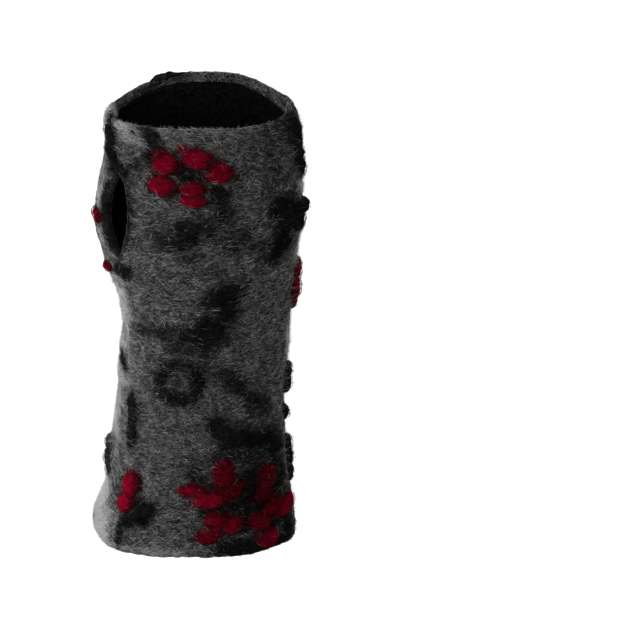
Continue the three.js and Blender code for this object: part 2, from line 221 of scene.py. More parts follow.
RED_TUFTS = {
    "red_rosette_palm_upper": (
        Tuft(109, 92.6, 14, 11.5, 3.6, 20, 0.95),
        Tuft(92.5, 95.6, 15, 11.5, 3.8, -15, 1.0),
        Tuft(81.5, 88, 14, 11.5, 3.6, 25, 1.0),
        Tuft(92.3, 80, 13, 7.5, 3.4, -5, 0.8),
        Tuft(91.5, 73.8, 14.5, 7.5, 3.9, -4, 1.05),
        Tuft(109, 81.4, 14.5, 12, 3.6, 0, 1.05),
    ),
    "red_rosette_palm_lower": (
        Tuft(73, -74.5, 16, 11, 3.0, 80, 0.4),
        Tuft(67, -84.6, 15, 9, 3.0, 55, 0.3),
        Tuft(91, -83.6, 15, 8, 3.0, -8, 0.78),
        Tuft(82, -89.1, 16, 9, 3.6, 5, 1.05),
        Tuft(77, -101.3, 14, 9, 3.0, 0, 0.6),
        Tuft(68, -104.2, 12, 9, 3.2, 40, 0.62),
        Tuft(81, -108.8, 15, 9, 3.4, 15, 0.52),
    ),
    "red_rosette_palm_right": (
        Tuft(40, -79.7, 15, 9, 3.0, 75, 0.3),
        Tuft(45, -88.3, 13, 9, 2.8, 40, 0.24),
        Tuft(38, -96.7, 13, 8, 2.6, 20, 0.3),
        Tuft(22, -99.5, 17, 9, 3.2, 25, 0.95),
        Tuft(50, -104.1, 13, 10, 3.2, -5, 0.46),
        Tuft(45, -114.4, 14, 11, 3.6, 15, 0.85),
    ),
    "red_petals_seam": (
        Tuft(133, -83, 14, 10.5, 4.0, 85, 1.2),
        Tuft(135, -93.6, 12.5, 10.5, 4.2, 60, 1.25),
    ),
    "red_rosette_side": (
        Tuft(-3, 27.5, 13, 10, 3.6, 80, 1.0),
        Tuft(0, 18, 13, 10, 4.2, 95, 1.1),
        Tuft(-7, 10.5, 12, 10, 3.4, 60, 1.0),
        Tuft(-22, 16, 12, 9, 3.2, 20, 0.9),
        Tuft(-20, 25, 12, 9, 3.2, -20, 0.9),
    ),
    "red_tuft_thumb_upper": (Tuft(163.5, 60.5, 9, 7, 2.2, 0, 0.45),),
    "red_tuft_thumb_lower": (Tuft(161, 33.5, 7, 6, 2.2, 60, 0.6),),
}

BLACK_TUFTS = {
    "black_roving_finger_side": (
        Tuft(22, 107.5, 12, 9, 2.4, 70),
        Tuft(19, 99, 12, 9, 2.2, 80),
        Tuft(14, 91, 12, 9, 2.4, 75),
        Tuft(6, 83.5, 11, 8, 2.6, 70),
    ),
    "black_roving_palm_side": (
        Tuft(39, 67, 12, 9, 1.8, 30),
        Tuft(28, 61.5, 14, 10, 2.2, 0),
        Tuft(12, 63, 13, 8, 3.0, 10),
        Tuft(-2, 62, 9, 8, 3.8, 0),
        Tuft(13, 56.5, 13, 10, 2.6, -20),
        Tuft(38, 53, 12, 9, 1.6, 60),
        Tuft(38, 45, 13, 9, 1.6, 40),
    ),
    "black_roving_thumb": (
        Tuft(160, 103.5, 11, 8, 2.0, 80),
        Tuft(157, 95.5, 12, 9, 2.2, 70),
    ),
    "black_roving_palm_upper": (
        Tuft(79, 73.5, 10, 8, 1.4, 90, 1.3),
        Tuft(77, 66.5, 13, 10, 1.6, 90, 1.35),
        Tuft(84, 59.5, 13, 9, 1.6, 20, 1.35),
        Tuft(94, 58, 13, 10, 1.6, 0, 1.15),
        Tuft(97, 52, 14, 9, 1.4, 10, 1.2),
    ),
    "black_roving_wrist": (
        Tuft(78, 22, 16, 12, 1.6, 15),
        Tuft(78, 13.5, 14, 12, 1.7, 90),
        Tuft(85, 7, 15, 12, 1.5, 30),
        Tuft(98, 1, 15, 8, 1.4, 5, 1.3),
        Tuft(114, 2, 16, 7, 1.3, -5, 1.6),
        Tuft(85, 0, 16, 9, 1.5, 0, 1.3),
    ),
    "black_roving_ring": (
        Tuft(116, -22, 11, 7, 1.5, 60, 1.25),
        Tuft(108, -16, 12, 7, 1.5, 15, 1.45),
        Tuft(98, -15.5, 12, 7, 1.5, -15, 1.45),
        Tuft(92.5, -22, 12, 7, 1.6, -70, 1.1),
        Tuft(93.5, -30, 11, 7, 1.6, 60, 1.2),
        Tuft(102, -33.5, 13, 7, 1.5, 5, 1.1),
        Tuft(113, -31, 11, 7, 1.5, -30, 1.2),
    ),
    "black_roving_streak": (
        Tuft(75, -21, 12, 7, 1.5, -30, 1.5),
        Tuft(65.5, -28, 13, 7, 1.6, -35, 1.3),
        Tuft(55.5, -34, 13, 7, 1.6, -35, 1.3),
        Tuft(46, -38.5, 12, 7, 1.5, -25, 1.4),
    ),
    "black_roving_forearm": (
        Tuft(78, -48.5, 13, 9, 1.6, -50),
        Tuft(69, -55.5, 13, 9, 1.6, -40),
        Tuft(57, -57, 14, 11, 1.7, 10),
        Tuft(43, -59, 15, 9, 1.7, -15),
        Tuft(28, -63.5, 13, 9, 1.8, -30),
    ),
    "black_roving_seam": (
        Tuft(143, -40, 12, 6, 1.6, 85),
        Tuft(140, -49, 12, 6, 1.7, 85),
        Tuft(138, -57.5, 11, 6, 1.6, 85),
    ),
    "black_roving_hem": (
        Tuft(121.5, -98, 12, 12, 2.6, 0),
        Tuft(128, -103, 11, 8, 1.8, 60),
    ),
    "black_roving_edge_wrist": (
        Tuft(0, -28, 11, 8, 3.2, 90),
        Tuft(-1, -36, 11, 8, 3.8, 80),
    ),
    "black_roving_edge_middle": (Tuft(-1, -52, 9, 7, 3.0, 90),),
    "black_roving_edge_forearm": (
        Tuft(-2, -69.8, 11, 8, 3.2, 90),
        Tuft(-3, -77.7, 12, 8, 3.2, 80),
        Tuft(1, -85.5, 11, 8, 2.6, 90),
    ),
    "black_roving_thumb_edge": (
        Tuft(181, -69, 9, 7, 3.0, 90, 1.5),
        Tuft(178, -76, 10, 8, 3.2, 90, 1.4),
        Tuft(170, -80.5, 9, 7, 2.0, 60, 1.5),
    ),
    "far_rim": (
        Tuft(246, 122, 9, 8, 3.2, 0),
        Tuft(251, 123, 11, 9, 2.6, 8),
        Tuft(257, 124, 12, 9, 1.8, -5),
        Tuft(262, 124.5, 11, 8, 1.0, 0),
    ),
}

SCENE_ONLY = ("far_rim",)

# Darker flat spots: mostly roving felted in flat, with some painted shade.
FLAT_ROVING_AND_SHADE = (
    FlatSpot(116, 103, 18, 9, 90, depth=1.0),
    FlatSpot(118.5, 94, 12, 9, 90, depth=0.8),
    FlatSpot(135, 84, 16, 9, 90, depth=0.4),
    FlatSpot(158, 104, 16, 9, 90, depth=0.9),
    FlatSpot(107, -5, 22, 9, -15, depth=0.7),
    FlatSpot(163, -18, 13, 10, 0, depth=1.1),
    FlatSpot(48, -42, 18, 9, -35, depth=0.6),
    FlatSpot(127.5, 89.5, 9, 7, 0, depth=0.8),
    FlatSpot(141, 86, 13, 9, 0, depth=0.9),
    FlatSpot(95, 86.6, 18, 13, 0, depth=0.8),
    FlatSpot(79, 76, 12, 9, 90, depth=0.8),
    FlatSpot(92, 44, 14, 9, 0, depth=0.5),
    FlatSpot(105, 52, 15, 11, 0, depth=0.6),
    FlatSpot(70, 51, 18, 10, 20, depth=0.5),
    FlatSpot(87, -77, 12, 9, 0, depth=0.7),
    FlatSpot(165.5, -69, 22, 12, 90, depth=0.65),
    # The next six spots are painted shade: the valley of the seam above the thumb opening, and the flap
    # beside the opening.
    FlatSpot(156, 104, 15, 8, 90, depth=0.9),
    FlatSpot(156, 96, 14, 8, 90, depth=0.9),
    FlatSpot(149, 88.5, 12, 8, 70, depth=1.0),
    FlatSpot(144.5, 85, 7, 6, 90, depth=1.0),
    FlatSpot(153, 62, 42, 6, 90, depth=1.0),
    FlatSpot(152, 96, 26, 8, 90, depth=0.5),
    FlatSpot(168, 60.5, 14, 13, 0, depth=0.7),
    # The next three spots, and one further on, darken the upper right side: partly dark fibres in the
    # cloth, partly painted shade on the side away from the lamp.
    FlatSpot(55, 104, 22, 7, 0, depth=0.3),
    FlatSpot(55, 94, 30, 12, 90, depth=0.3),
    FlatSpot(40, 86, 26, 12, 90, depth=0.35),
    FlatSpot(85, 36, 20, 9, 0, depth=0.3),
    FlatSpot(98, -104, 12, 8, 0, depth=0.3),
    FlatSpot(143.5, 32.5, 14, 10, 0, depth=1.1),
    FlatSpot(213, 114, 34, 12, 0, depth=0.5),
    FlatSpot(24, 112, 18, 8, 0, depth=0.7),
    FlatSpot(6, 111, 14, 12, 0, depth=0.6),
    FlatSpot(348, 114, 16, 12, 0, depth=0.5),
    # Partly dark fibres, partly painted shade on the upper right side.
    FlatSpot(45, 104, 26, 12, 10, depth=0.35),
    FlatSpot(99, 49.5, 16, 7, 0, depth=0.6),
    FlatSpot(73, 55, 22, 8, 20, depth=0.5),
    FlatSpot(57, 48, 16, 8, 30, depth=0.5),
    FlatSpot(48, 43, 14, 8, 30, depth=0.5),
    FlatSpot(34, 66, 16, 12, 60, depth=0.9),
    FlatSpot(36, 56, 18, 13, 90, depth=0.8),
    FlatSpot(38, 44, 18, 12, 90, depth=0.7),
    FlatSpot(128, 1.6, 28, 6, 0, depth=0.55),
    FlatSpot(89, -7, 18, 11, -60, depth=0.7),
    FlatSpot(88, -15, 14, 9, 60, depth=0.6),
    FlatSpot(104, -24.5, 16, 13, 0, depth=0.45),
    FlatSpot(72, -52, 22, 14, -20, depth=0.7),
    FlatSpot(66, -64, 26, 16, 20, depth=0.6),
    FlatSpot(52, -66, 30, 22, 90, depth=0.65),
    FlatSpot(35, -62, 26, 18, 90, depth=0.7),
    FlatSpot(28, -78, 26, 16, 90, depth=0.8),
    FlatSpot(88, -69, 14, 9, 40, depth=0.4),
    FlatSpot(74, -95, 34, 20, 90, depth=0.9),
    FlatSpot(42, -94, 44, 26, 90, depth=1.0),
    FlatSpot(57, -91, 40, 14, 90, depth=1.0),
    FlatSpot(69, -119, 22, 12, 0, depth=0.85),
    FlatSpot(57, -119, 20, 14, 0, depth=1.0),
    FlatSpot(41, -120, 22, 16, 0, depth=1.0),
    FlatSpot(20, -102, 34, 14, 90, depth=0.9),
    FlatSpot(20, -120, 26, 16, 0, depth=0.95),
    FlatSpot(2, -121, 18, 14, 0, depth=0.8),
    FlatSpot(130, -95, 12, 7, 60, depth=0.9),
    FlatSpot(133, -104, 14, 6, 70, depth=0.9),
    FlatSpot(136, -116, 14, 5, 75, depth=0.9),
    FlatSpot(174, -110, 7, 5, 0, depth=0.6),
    FlatSpot(254, 122, 24, 12, 0, depth=1.0),
)

# Paler spots: partly pale wool at the left side, near rim and hem, partly painted highlight down the left
# side that faces the lamp and along the right edge.
PALE = (
    FlatSpot(176, 108, 30, 16, 90, depth=1.5),
    FlatSpot(136, 104, 18, 12, 0, depth=0.6),
    FlatSpot(142, 108.5, 18, 6, 0, depth=0.9),
    FlatSpot(106, 108.5, 26, 6, 0, depth=0.25),
    FlatSpot(86, 108.5, 26, 6, 0, depth=0.25),
    FlatSpot(176, 84, 22, 12, 90, depth=0.5),
    FlatSpot(152, 18, 16, 10, 90, depth=0.6),
    FlatSpot(164, 60, 44, 9, 90, depth=1.2),
    FlatSpot(167, 15, 50, 22, 90, depth=1.4),
    FlatSpot(173, -20, 60, 26, 90, depth=1.4),
    FlatSpot(172, -52, 50, 26, 90, depth=1.4),
    FlatSpot(162, -70, 28, 14, 90, depth=0.8),
    FlatSpot(148, -35, 120, 16, 90, depth=0.4),
    FlatSpot(176, -96, 46, 26, 90, depth=2.2),
    FlatSpot(194, -99, 44, 26, 90, depth=2.4),
    FlatSpot(163, -110, 30, 34, 0, depth=1.8),
    FlatSpot(178, -112, 34, 30, 0, depth=2.8),
    FlatSpot(150, -112, 16, 24, 0, depth=0.9),
    FlatSpot(140, -121, 16, 7, 0, depth=0.9),
    FlatSpot(110, -120, 44, 6, 0, depth=0.7),
    # Painted rim highlight along the right edge.
    FlatSpot(2, -15, 50, 12, 90, depth=1.2),
    FlatSpot(4, 43, 24, 12, 90, depth=1.2),
    FlatSpot(4, 74, 20, 12, 90, depth=1.2),
)

PRESSED = (
    Pressed(43.4, 91.1, 12, 10, 70, Wool.RED),
    Pressed(34.9, 80.7, 13, 12, 0, Wool.RED),
    Pressed(42.7, 67.0, 13, 11, 0, Wool.RED),
    Pressed(47.5, 63.1, 9, 8, 60, Wool.RED),
    Pressed(-1.9, 67.2, 13, 11, 0, Wool.RED),
    Pressed(3.4, 55.8, 11, 7, -60, Wool.RED),
    Pressed(-16.9, 24.4, 13, 10, 0, Wool.RED),
    Pressed(-26.2, 18.0, 9, 8, 40, Wool.RED),
    Pressed(-25.6, 8.9, 11, 10, 60, Wool.RED),
    Pressed(-12.5, 5.2, 13, 11, 0, Wool.RED),
    Pressed(-5.0, 12.0, 12, 9, -20, Wool.RED),
    Pressed(37.4, -40.0, 13, 10, -30, Wool.RED),
    Pressed(29.3, -47.6, 12, 10, 30, Wool.RED),
    Pressed(43.0, -45.5, 10, 8, -60, Wool.RED),
    Pressed(34.0, -58.3, 12, 8, 20, Wool.RED),
    Pressed(43.8, -57.5, 10, 8, 30, Wool.RED),
    Pressed(-41.0, -83.9, 9, 7, 80, Wool.RED),
    Pressed(-42.0, -91.0, 8, 6, 80, Wool.RED),
    Pressed(-42.5, -99.5, 10, 8, 70, Wool.RED),
    Pressed(-44.0, -112.0, 9, 6, 80, Wool.RED),
    Pressed(-37.8, 104.0, 14, 10, -60),
    Pressed(-30.0, 97.0, 16, 12, -30),
    Pressed(-19.0, 90.0, 16, 12, -30),
    Pressed(-5.0, 84.0, 16, 10, -10),
    Pressed(-33.0, 70.0, 14, 9, 80),
    Pressed(-35.0, 57.0, 14, 9, 70),
    Pressed(-41.0, 45.0, 14, 9, 50),
    Pressed(11.7, 57.0, 14, 10, 60),
    Pressed(37.0, 31.5, 22, 14, 70),
    Pressed(9.0, 31.0, 18, 10, 70),
    Pressed(14.0, 12.0, 18, 9, -20),
    Pressed(4.0, -12.0, 22, 14, 0),
    Pressed(16.0, -23.0, 20, 7, 10),
    Pressed(-33.0, -32.0, 10, 8, 0),
    Pressed(-25.0, -40.0, 12, 9, 60),
    Pressed(-8.0, -54.0, 18, 9, -10),
    Pressed(6.0, -58.0, 20, 12, -15),
    Pressed(22.0, -63.0, 16, 8, -10),
    Pressed(-28.0, -73.0, 16, 14, 0),
    Pressed(-33.0, -84.0, 14, 6, 80),
    Pressed(15.0, -77.0, 16, 13, 60),
    Pressed(-13.0, -93.0, 14, 8, 10),
    Pressed(-3.0, -92.0, 10, 7, 0),
    Pressed(7.0, -98.0, 14, 9, -60),
    Pressed(-25.0, -103.0, 12, 7, -50),
    Pressed(-17.0, -111.0, 12, 8, -30),
    Pressed(-6.0, -113.0, 14, 6, 10),
    Pressed(36.0, -100.0, 20, 12, 70),
)

COATS = (
    Coat("hair_middle", HairTone.MIDDLE, "grey_felt", 15000, 2.0, 5.0, 0.15, 0.2, 0.04, 1.6, 4, 21),
    Coat("hair_dark", HairTone.DARK, "grey_felt", 13000, 2.0, 5.0, 0.17, 0.2, 0.04, 1.8, 4, 22),
    Coat("hair_black", HairTone.DARK, "black_roving", 8500, 2.0, 5.0, 0.2, 0.3, 0.3, 1.6, 4, 23),
    Coat("hair_light", HairTone.LIGHT, "grey_felt", 22000, 2.0, 4.8, 0.1, 0.22, 0.1, 1.8, 4, 24),
    Coat("hair_red", HairTone.RED, "red_roving", 6500, 1.5, 4.0, 0.16, 0.25, 0.06, 1.2, 4, 25),
    Coat("hair_fuzz", HairTone.LIGHT, "grey_felt", 26000, 1.0, 3.0, 0.08, 0.1, 1.0, 2.1, 2, 27),
    Coat("hair_stray", HairTone.LIGHT, "grey_felt", 1400, 4.0, 10.0, 0.07, 0.7, 0.3, 3.0, 5, 26),
)

GROWTHS = {
    "hair_middle": Growth(0.14, thinned=True, on_veil=0.15),
    "hair_dark": Growth(1.0, thinned=True, on_veil=0.4),
    "hair_light": Growth(0.015, power=1.5, on_pale_and_highlight=3.0),
    "hair_fuzz": Growth(0.005, power=2.0, on_pale_and_highlight=5.0),
    "hair_stray": Growth(0.1),
}


def smoothstep(low: float, high: float, value: np.ndarray) -> np.ndarray:
    """Rises smoothly from 0 at low to 1 at high, or falls if high is the lower one."""
    t = np.clip((value - low) / (high - low), 0.0, 1.0)
    return t * t * (3.0 - 2.0 * t)


def unevenness(points: np.ndarray, waves: Waves, seed: float) -> np.ndarray:
    """Smooth random heights at points.

    Args:
        points: places in millimetres, one row each.
        waves: length and height of each layer of waves.
        seed: moves the pattern, so that two surfaces differ.

    Returns:
        One height in millimetres for each point.
    """
    total = np.zeros(len(points))
    for length, height in waves:
        places = (points / length + seed).tolist()
        total += height * np.fromiter((noise.noise(p) for p in places), float, len(places))
    return total


def height_of(tuft: Tuft) -> float:
    """Height of a tuft over the felt. Low ones are felted in deeper than their solids show."""
    return tuft.high * (1.0 if tuft.high > LOW_TUFT else SUNK_SHARE)


def points_of(mesh: bpy.types.Mesh) -> np.ndarray:
    """The points of a mesh.

    Args:
        mesh: the mesh.

    Returns:
        One row of coordinates for each point.
    """
    flat = np.empty(len(mesh.vertices) * 3, np.float32)
    mesh.vertices.foreach_get("co", flat)
    return flat.reshape(-1, 3).astype(float)


def set_points(mesh: bpy.types.Mesh, points: np.ndarray) -> None:
    """Moves the points of a mesh."""
    mesh.vertices.foreach_set("co", points.astype(np.float32).ravel())
    mesh.update()


def set_float(mesh: bpy.types.Mesh, name: str, values: np.ndarray) -> None:
    """Stores one number for each point of a mesh."""
    layer = mesh.attributes.new(name, "FLOAT", "POINT")
    layer.data.foreach_set("value", np.asarray(values, np.float32).ravel())


def sew(mesh: bpy.types.Mesh) -> None:
    """Joins the two edges along the sewn part of a seam and turns all faces outwards.

    Args:
        mesh: the mesh of a cloth tube.
    """
    bm = bmesh.new()
    bm.from_mesh(mesh)
    bmesh.ops.remove_doubles(bm, verts=bm.verts[:], dist=WELD)
    bmesh.ops.recalc_face_normals(bm, faces=bm.faces[:])
    bm.to_mesh(mesh)
    bm.free()


@dataclass(frozen=True)
class Short:
    """How far a tube stops short at the fingers, more so on the right side, and at the forearm."""

    finger: float
    forearm: float
    finger_right: float = 0.0


@dataclass
class WristForm:
    """The outside of the felt as a smooth surface, in the part's own millimetres."""

    equator_share: float = 0.44
    palm_power: float = 2.15
    back_power: float = 3.0
    pressed: float = 0.9
    seam_from: float = -124.0
    seam_to: float = 110.0
    thumb_from: float = 0.7
    thumb_to: float = 0.905
    thumb_width: float = 11.5
    thumb_fullness: float = 0.75
    end_reach: int = 6
    right_focus: int = 3
    middle: tuple[float, float] = (1.24, 0.38)

    def section(self, name: str, y: np.ndarray) -> np.ndarray:
        """A smooth curve through one column of the section table.

        Args:
            name: the column's name.
            y: places along the tube.

        Returns:
            The column's value at each place.
        """
        knots = np.array([row.y for row in SECTIONS], float)
        values = np.array([getattr(row, name) for row in SECTIONS], float)
        before = np.maximum(np.arange(len(knots)) - 1, 0)
        after = np.minimum(np.arange(len(knots)) + 1, len(knots) - 1)
        slopes = (values[after] - values[before]) / (knots[after] - knots[before])
        at = np.clip(y, knots[0], knots[-1])
        i = np.clip(np.searchsorted(knots, at) - 1, 0, len(knots) - 2)
        span = knots[i + 1] - knots[i]
        t = (at - knots[i]) / span
        blend = 3 * t**2 - 2 * t**3
        bend = slopes[i] * (t**3 - 2 * t**2 + t) + slopes[i + 1] * (t**3 - t**2)
        return values[i] * (1 - blend) + values[i + 1] * blend + span * bend

    def end(self, name: str, angle: np.ndarray) -> np.ndarray:
        """Where one end of the tube lies, on a closed curve through the table of ends.

        Args:
            name: finger or forearm.
            angle: angles round the tube in radians.

        Returns:
            The end's Y at each angle.
        """
        values = np.array([getattr(row, name) for row in ENDS], float)
        place = np.mod(angle, FULL_TURN) / FULL_TURN * len(values)
        i = np.floor(place).astype(int)
        t = place - i
        before, start, stop, after = (values[(i + k) % len(values)] for k in (-1, 0, 1, 2))
        return (
            start
            + 0.5 * t * (stop - before)
            + t**2 * (before - 2.5 * start + 2 * stop - 0.5 * after)
            + t**3 * (1.5 * (start - stop) + 0.5 * (after - before))
        )

    def skin(self, angle: np.ndarray, y: np.ndarray) -> np.ndarray:
        """Points on the outside of the felt.

        Args:
            angle: angles round the tube in radians.
            y: places along it.

        Returns:
            The points.
        """
        angle, y = np.broadcast_arrays(angle, y)
        left, right = self.section("left", y), self.section("right", y)
        height = self.section("height", y)
        equator = height * self.equator_share
        palm = np.sin(angle) >= 0
        power = np.where(palm, 2 / self.palm_power, 2 / self.back_power)
        reach = np.sign(np.cos(angle)) * np.abs(np.cos(angle)) ** power
        climb = np.sign(np.sin(angle)) * np.abs(np.sin(angle)) ** power
        x = (left + right) / 2 + (right - left) / 2 * reach
        z = equator + climb * np.where(palm, height - equator, equator + self.pressed)
        return np.stack([x - self.middle[0], y - self.middle[1], np.maximum(z, 0.0)], axis=-1)

    def skin_at_share(self, angle: np.ndarray, share: np.ndarray, short: Short) -> np.ndarray:
        """Points on the outside of the felt, by share of the length between a tube's ends.

        Args:
            angle: angles round the tube in radians.
            share: 0 at the forearm end and 1 at the finger end.
            short: how far the tube stops short of the felt's ends.

        Returns:
            The points.
        """
        start, stop = self.end("forearm", angle), self.end("finger", angle)
        rightness = np.clip(np.cos(angle), 0.0, 1.0) ** self.right_focus
        finger = short.finger + short.finger_right * rightness
        forearm = short.forearm
        held_back = (forearm + (-finger - forearm) * share) * np.abs(2 * share - 1) ** self.end_reach
        return self.skin(angle, start + (stop - start) * share + held_back)

    def seam_angle(self, share: np.ndarray) -> np.ndarray:
        """The angle at which the side seam runs."""
        y = self.seam_from + (self.seam_to - self.seam_from) * share
        return math.pi - np.radians(self.section("seam", y))

    def slit_half(self, share: np.ndarray, extra: float) -> np.ndarray:
        """Half the width of the thumb opening.

        Args:
            share: places along the seam, as shares of its length.
            extra: how far a cloth's edge stands back from the opening.

        Returns:
            The half-width at each place, and 0 where the seam is sewn.
        """
        t = (share - self.thumb_from) / (self.thumb_to - self.thumb_from)
        inside = (t > 0) & (t < 1)
        lens = np.sin(math.pi * np.clip(t, 0.0, 1.0)) ** self.thumb_fullness
        return np.where(inside, (self.thumb_width / 2 + extra) * lens, 0.0)


@dataclass
class ClothTube:
    """A cloth tube on the wrist form, as a grid of columns round it and rows along it.

    depth is how far its outside lies under the felt's outside, and short how far it stops short of the
    ends. Columns start and end at the seam. Rows 0 and the last one are the forearm and finger ends.
    """

    form: WristForm
    columns: int
    rows: int
    depth: float
    thickness: float
    short: Short
    thumb_short: float
    seam_dip: float
    seam_spread: float = 1.6
    samples: int = 360
    normal_angle: float = 0.02
    normal_share: float = 0.01
    slab_edge: float = 0.4999
    share: np.ndarray = field(init=False)
    closed: np.ndarray = field(init=False)
    angle: np.ndarray = field(init=False)
    face: np.ndarray = field(init=False)
    outward: np.ndarray = field(init=False)
    step_round: np.ndarray = field(init=False)

    def __post_init__(self) -> None:
        """Lays out the rows and columns and works out every grid point."""
        self.share = self._row_shares()
        self.closed = self.form.slit_half(self.share, self.thumb_short) == 0
        self.angle, self.step_round = self._column_angles()
        share = self.share[:, None]
        self.face = self._at(self.angle, share)
        round_step = self._at(self.angle + self.normal_angle, share)
        round_step -= self._at(self.angle - self.normal_angle, share)
        along_step = self._at(self.angle, share + self.normal_share)
        along_step -= self._at(self.angle, share - self.normal_share)
        outward = np.cross(along_step, round_step)
        self.outward = outward / np.linalg.norm(outward, axis=-1, keepdims=True)

    def _at(self, angle: np.ndarray, share: np.ndarray) -> np.ndarray:
        """A point on the felt's outside by angle and share."""
        return self.form.skin_at_share(angle, share, self.short)

    def _row_shares(self) -> np.ndarray:
        """Lays out the rows, evenly in three stretches that meet at the thumb opening's ends.

        Returns:
            Each row's share of the length.
        """
        stops = (0.0, self.form.thumb_from, self.form.thumb_to, 1.0)
        counts = [round(self.rows * (b - a)) for a, b in zip(stops, stops[1:])]
        counts[0] += self.rows - sum(counts)
        parts = [np.linspace(a, b, n, endpoint=False) for a, b, n in zip(stops, stops[1:], counts)]
        return np.concatenate([*parts, [1.0]])

    def _column_angles(self) -> tuple[np.ndarray, np.ndarray]:
        """Lays out the columns, evenly along the cloth of each row.

        Returns:
            The angle of each grid point, and each row's spacing.
        """
        turn = np.linspace(0.0, FULL_TURN, self.samples + 1)
        sampled = self.form.seam_angle(self.share)[:, None] - turn[None, :]
        ring = self._at(sampled, self.share[:, None])
        lengths = np.linalg.norm(np.diff(ring, axis=1), axis=-1).cumsum(axis=1)
        lengths = np.concatenate([np.zeros((len(self.share), 1)), lengths], axis=1)
        trim = self.form.slit_half(self.share, self.thumb_short)
        angles = np.empty((len(self.share), self.columns + 1))
        for j, row in enumerate(lengths):
            wanted = np.linspace(trim[j], row[-1] - trim[j], self.columns + 1)
            angles[j] = np.interp(wanted, row, sampled[j])
            if self.closed[j]:
                angles[j, -1] = angles[j, 0]
        return angles, (lengths[:, -1] - 2 * trim) / self.columns

    def place(self, i: np.ndarray, j: np.ndarray, p: np.ndarray) -> tuple[np.ndarray, np.ndarray]:
        """Points of the cloth, its rounded edges among them.

        Args:
            i: column numbers.
            j: row numbers.
            p: 1 on the outside of the cloth, -1 on its inside and in between on its edges.

        Returns:
            The points in millimetres, and the direction that points away from the cloth there.
        """
        face, outward = self.face[j, i], self.outward[j, i]
        beyond = np.zeros_like(face)
        last = len(self.share) - 1
        at_finger, at_forearm = j == last, j == 0
        beyond[at_finger] = self._unit(self.face[last, i[at_finger]] - self.face[last - 1, i[at_finger]])
        beyond[at_forearm] = self._unit(self.face[0, i[at_forearm]] - self.face[1, i[at_forearm]])
        for column, inner in ((0, 1), (self.columns, self.columns - 1)):
            lip = (i == column) & ~self.closed[j]
            beyond[lip] = self._unit(self.face[j[lip], column] - self.face[j[lip], inner])
        half = self.thickness / 2
        bulge = np.sqrt(np.clip(1 - p**2, 0.0, 1.0))[:, None]
        points = face - outward * (self.depth + half - half * p[:, None]) + beyond * half * bulge
        away = outward * p[:, None] + beyond * bulge
        near_seam = np.minimum(i, self.columns - i) * self.step_round[j]
        dip = np.where(self.closed[j], self.seam_dip * np.exp(-((near_seam / self.seam_spread) ** 2)), 0.0)
        points = points - outward * (dip * (1 + p) / 2)[:, None]
        floor = self.depth + half - half * p
        points[:, 2] = np.maximum(points[:, 2], floor)
        return points, away

    @staticmethod
    def _unit(vectors: np.ndarray) -> np.ndarray:
        """Vectors at length 1."""
        return vectors / np.maximum(np.linalg.norm(vectors, axis=-1, keepdims=True), SMALLEST)

    def slab(self, edge_cuts: int) -> bpy.types.Mesh:
        """A flat slab, one unit wide, long and thick, that has the cloth's rows and columns.

        Args:
            edge_cuts: cuts across the thickness, which later round the edges.

        Returns:
            A mesh whose X and Y count the columns and rows, and whose Z goes from 0 to -1.
        """
        bm = bmesh.new()
        bmesh.ops.create_grid(bm, x_segments=self.columns, y_segments=self.rows, size=0.5)
        pulled = bmesh.ops.extrude_face_region(bm, geom=bm.faces[:], use_keep_orig=True)
        lower = [part for part in pulled["geom"] if isinstance(part, bmesh.types.BMVert)]
        bmesh.ops.translate(bm, verts=lower, vec=(0.0, 0.0, -1.0))
        upright = [e for e in bm.edges if abs(e.verts[0].co.z - e.verts[1].co.z) > 0.5]
        bmesh.ops.subdivide_edges(bm, edges=upright, cuts=edge_cuts, use_grid_fill=True)
        sewn = [f for f in bm.faces if self._is_sewn(f)]
        bmesh.ops.delete(bm, geom=sewn, context="FACES")
        mesh = bpy.data.meshes.new("slab")
        bm.to_mesh(mesh)
        bm.free()
        return mesh

    def _is_sewn(self, wall: bmesh.types.BMFace) -> bool:
        """Whether a face of the slab is a wall along the sewn part of the seam.

        Args:
            wall: the face.

        Returns:
            True if it has to go, because the seam is closed there.
        """
        sides = [v.co.x for v in wall.verts]
        if min(sides) < self.slab_edge and max(sides) > -self.slab_edge:
            return False
        rows = [round((v.co.y + 0.5) * self.rows) for v in wall.verts]
        return bool(self.closed[min(rows)] and self.closed[max(rows)])

    def numbers_of(self, slab: bpy.types.Mesh) -> tuple[np.ndarray, np.ndarray, np.ndarray]:
        """What the points of the slab stand for.

        Args:
            slab: the mesh that slab returns.

        Returns:
            Column numbers, row numbers, and 1 on the outside of the cloth down to -1 on its inside.
        """
        flat = points_of(slab)
        i = np.rint((flat[:, 0] + 0.5) * self.columns).astype(int)
        j = np.rint((flat[:, 1] + 0.5) * self.rows).astype(int)
        return i, j, 1 + 2 * flat[:, 2]


class Fade(Enum):
    """Shares of a spot's size at which its colour starts to fade and at which it has gone."""

    TUFT = (0.45, 2.05)
    PETAL = (0.8, 1.2)
    # painted shade round the raised red petals
    HALO = (0.8, 1.7)
    FLAT_AND_SHADE = (0.4, 1.6)
    # paler spots: pale wool and painted highlight
    PALE = (0.2, 1.3)


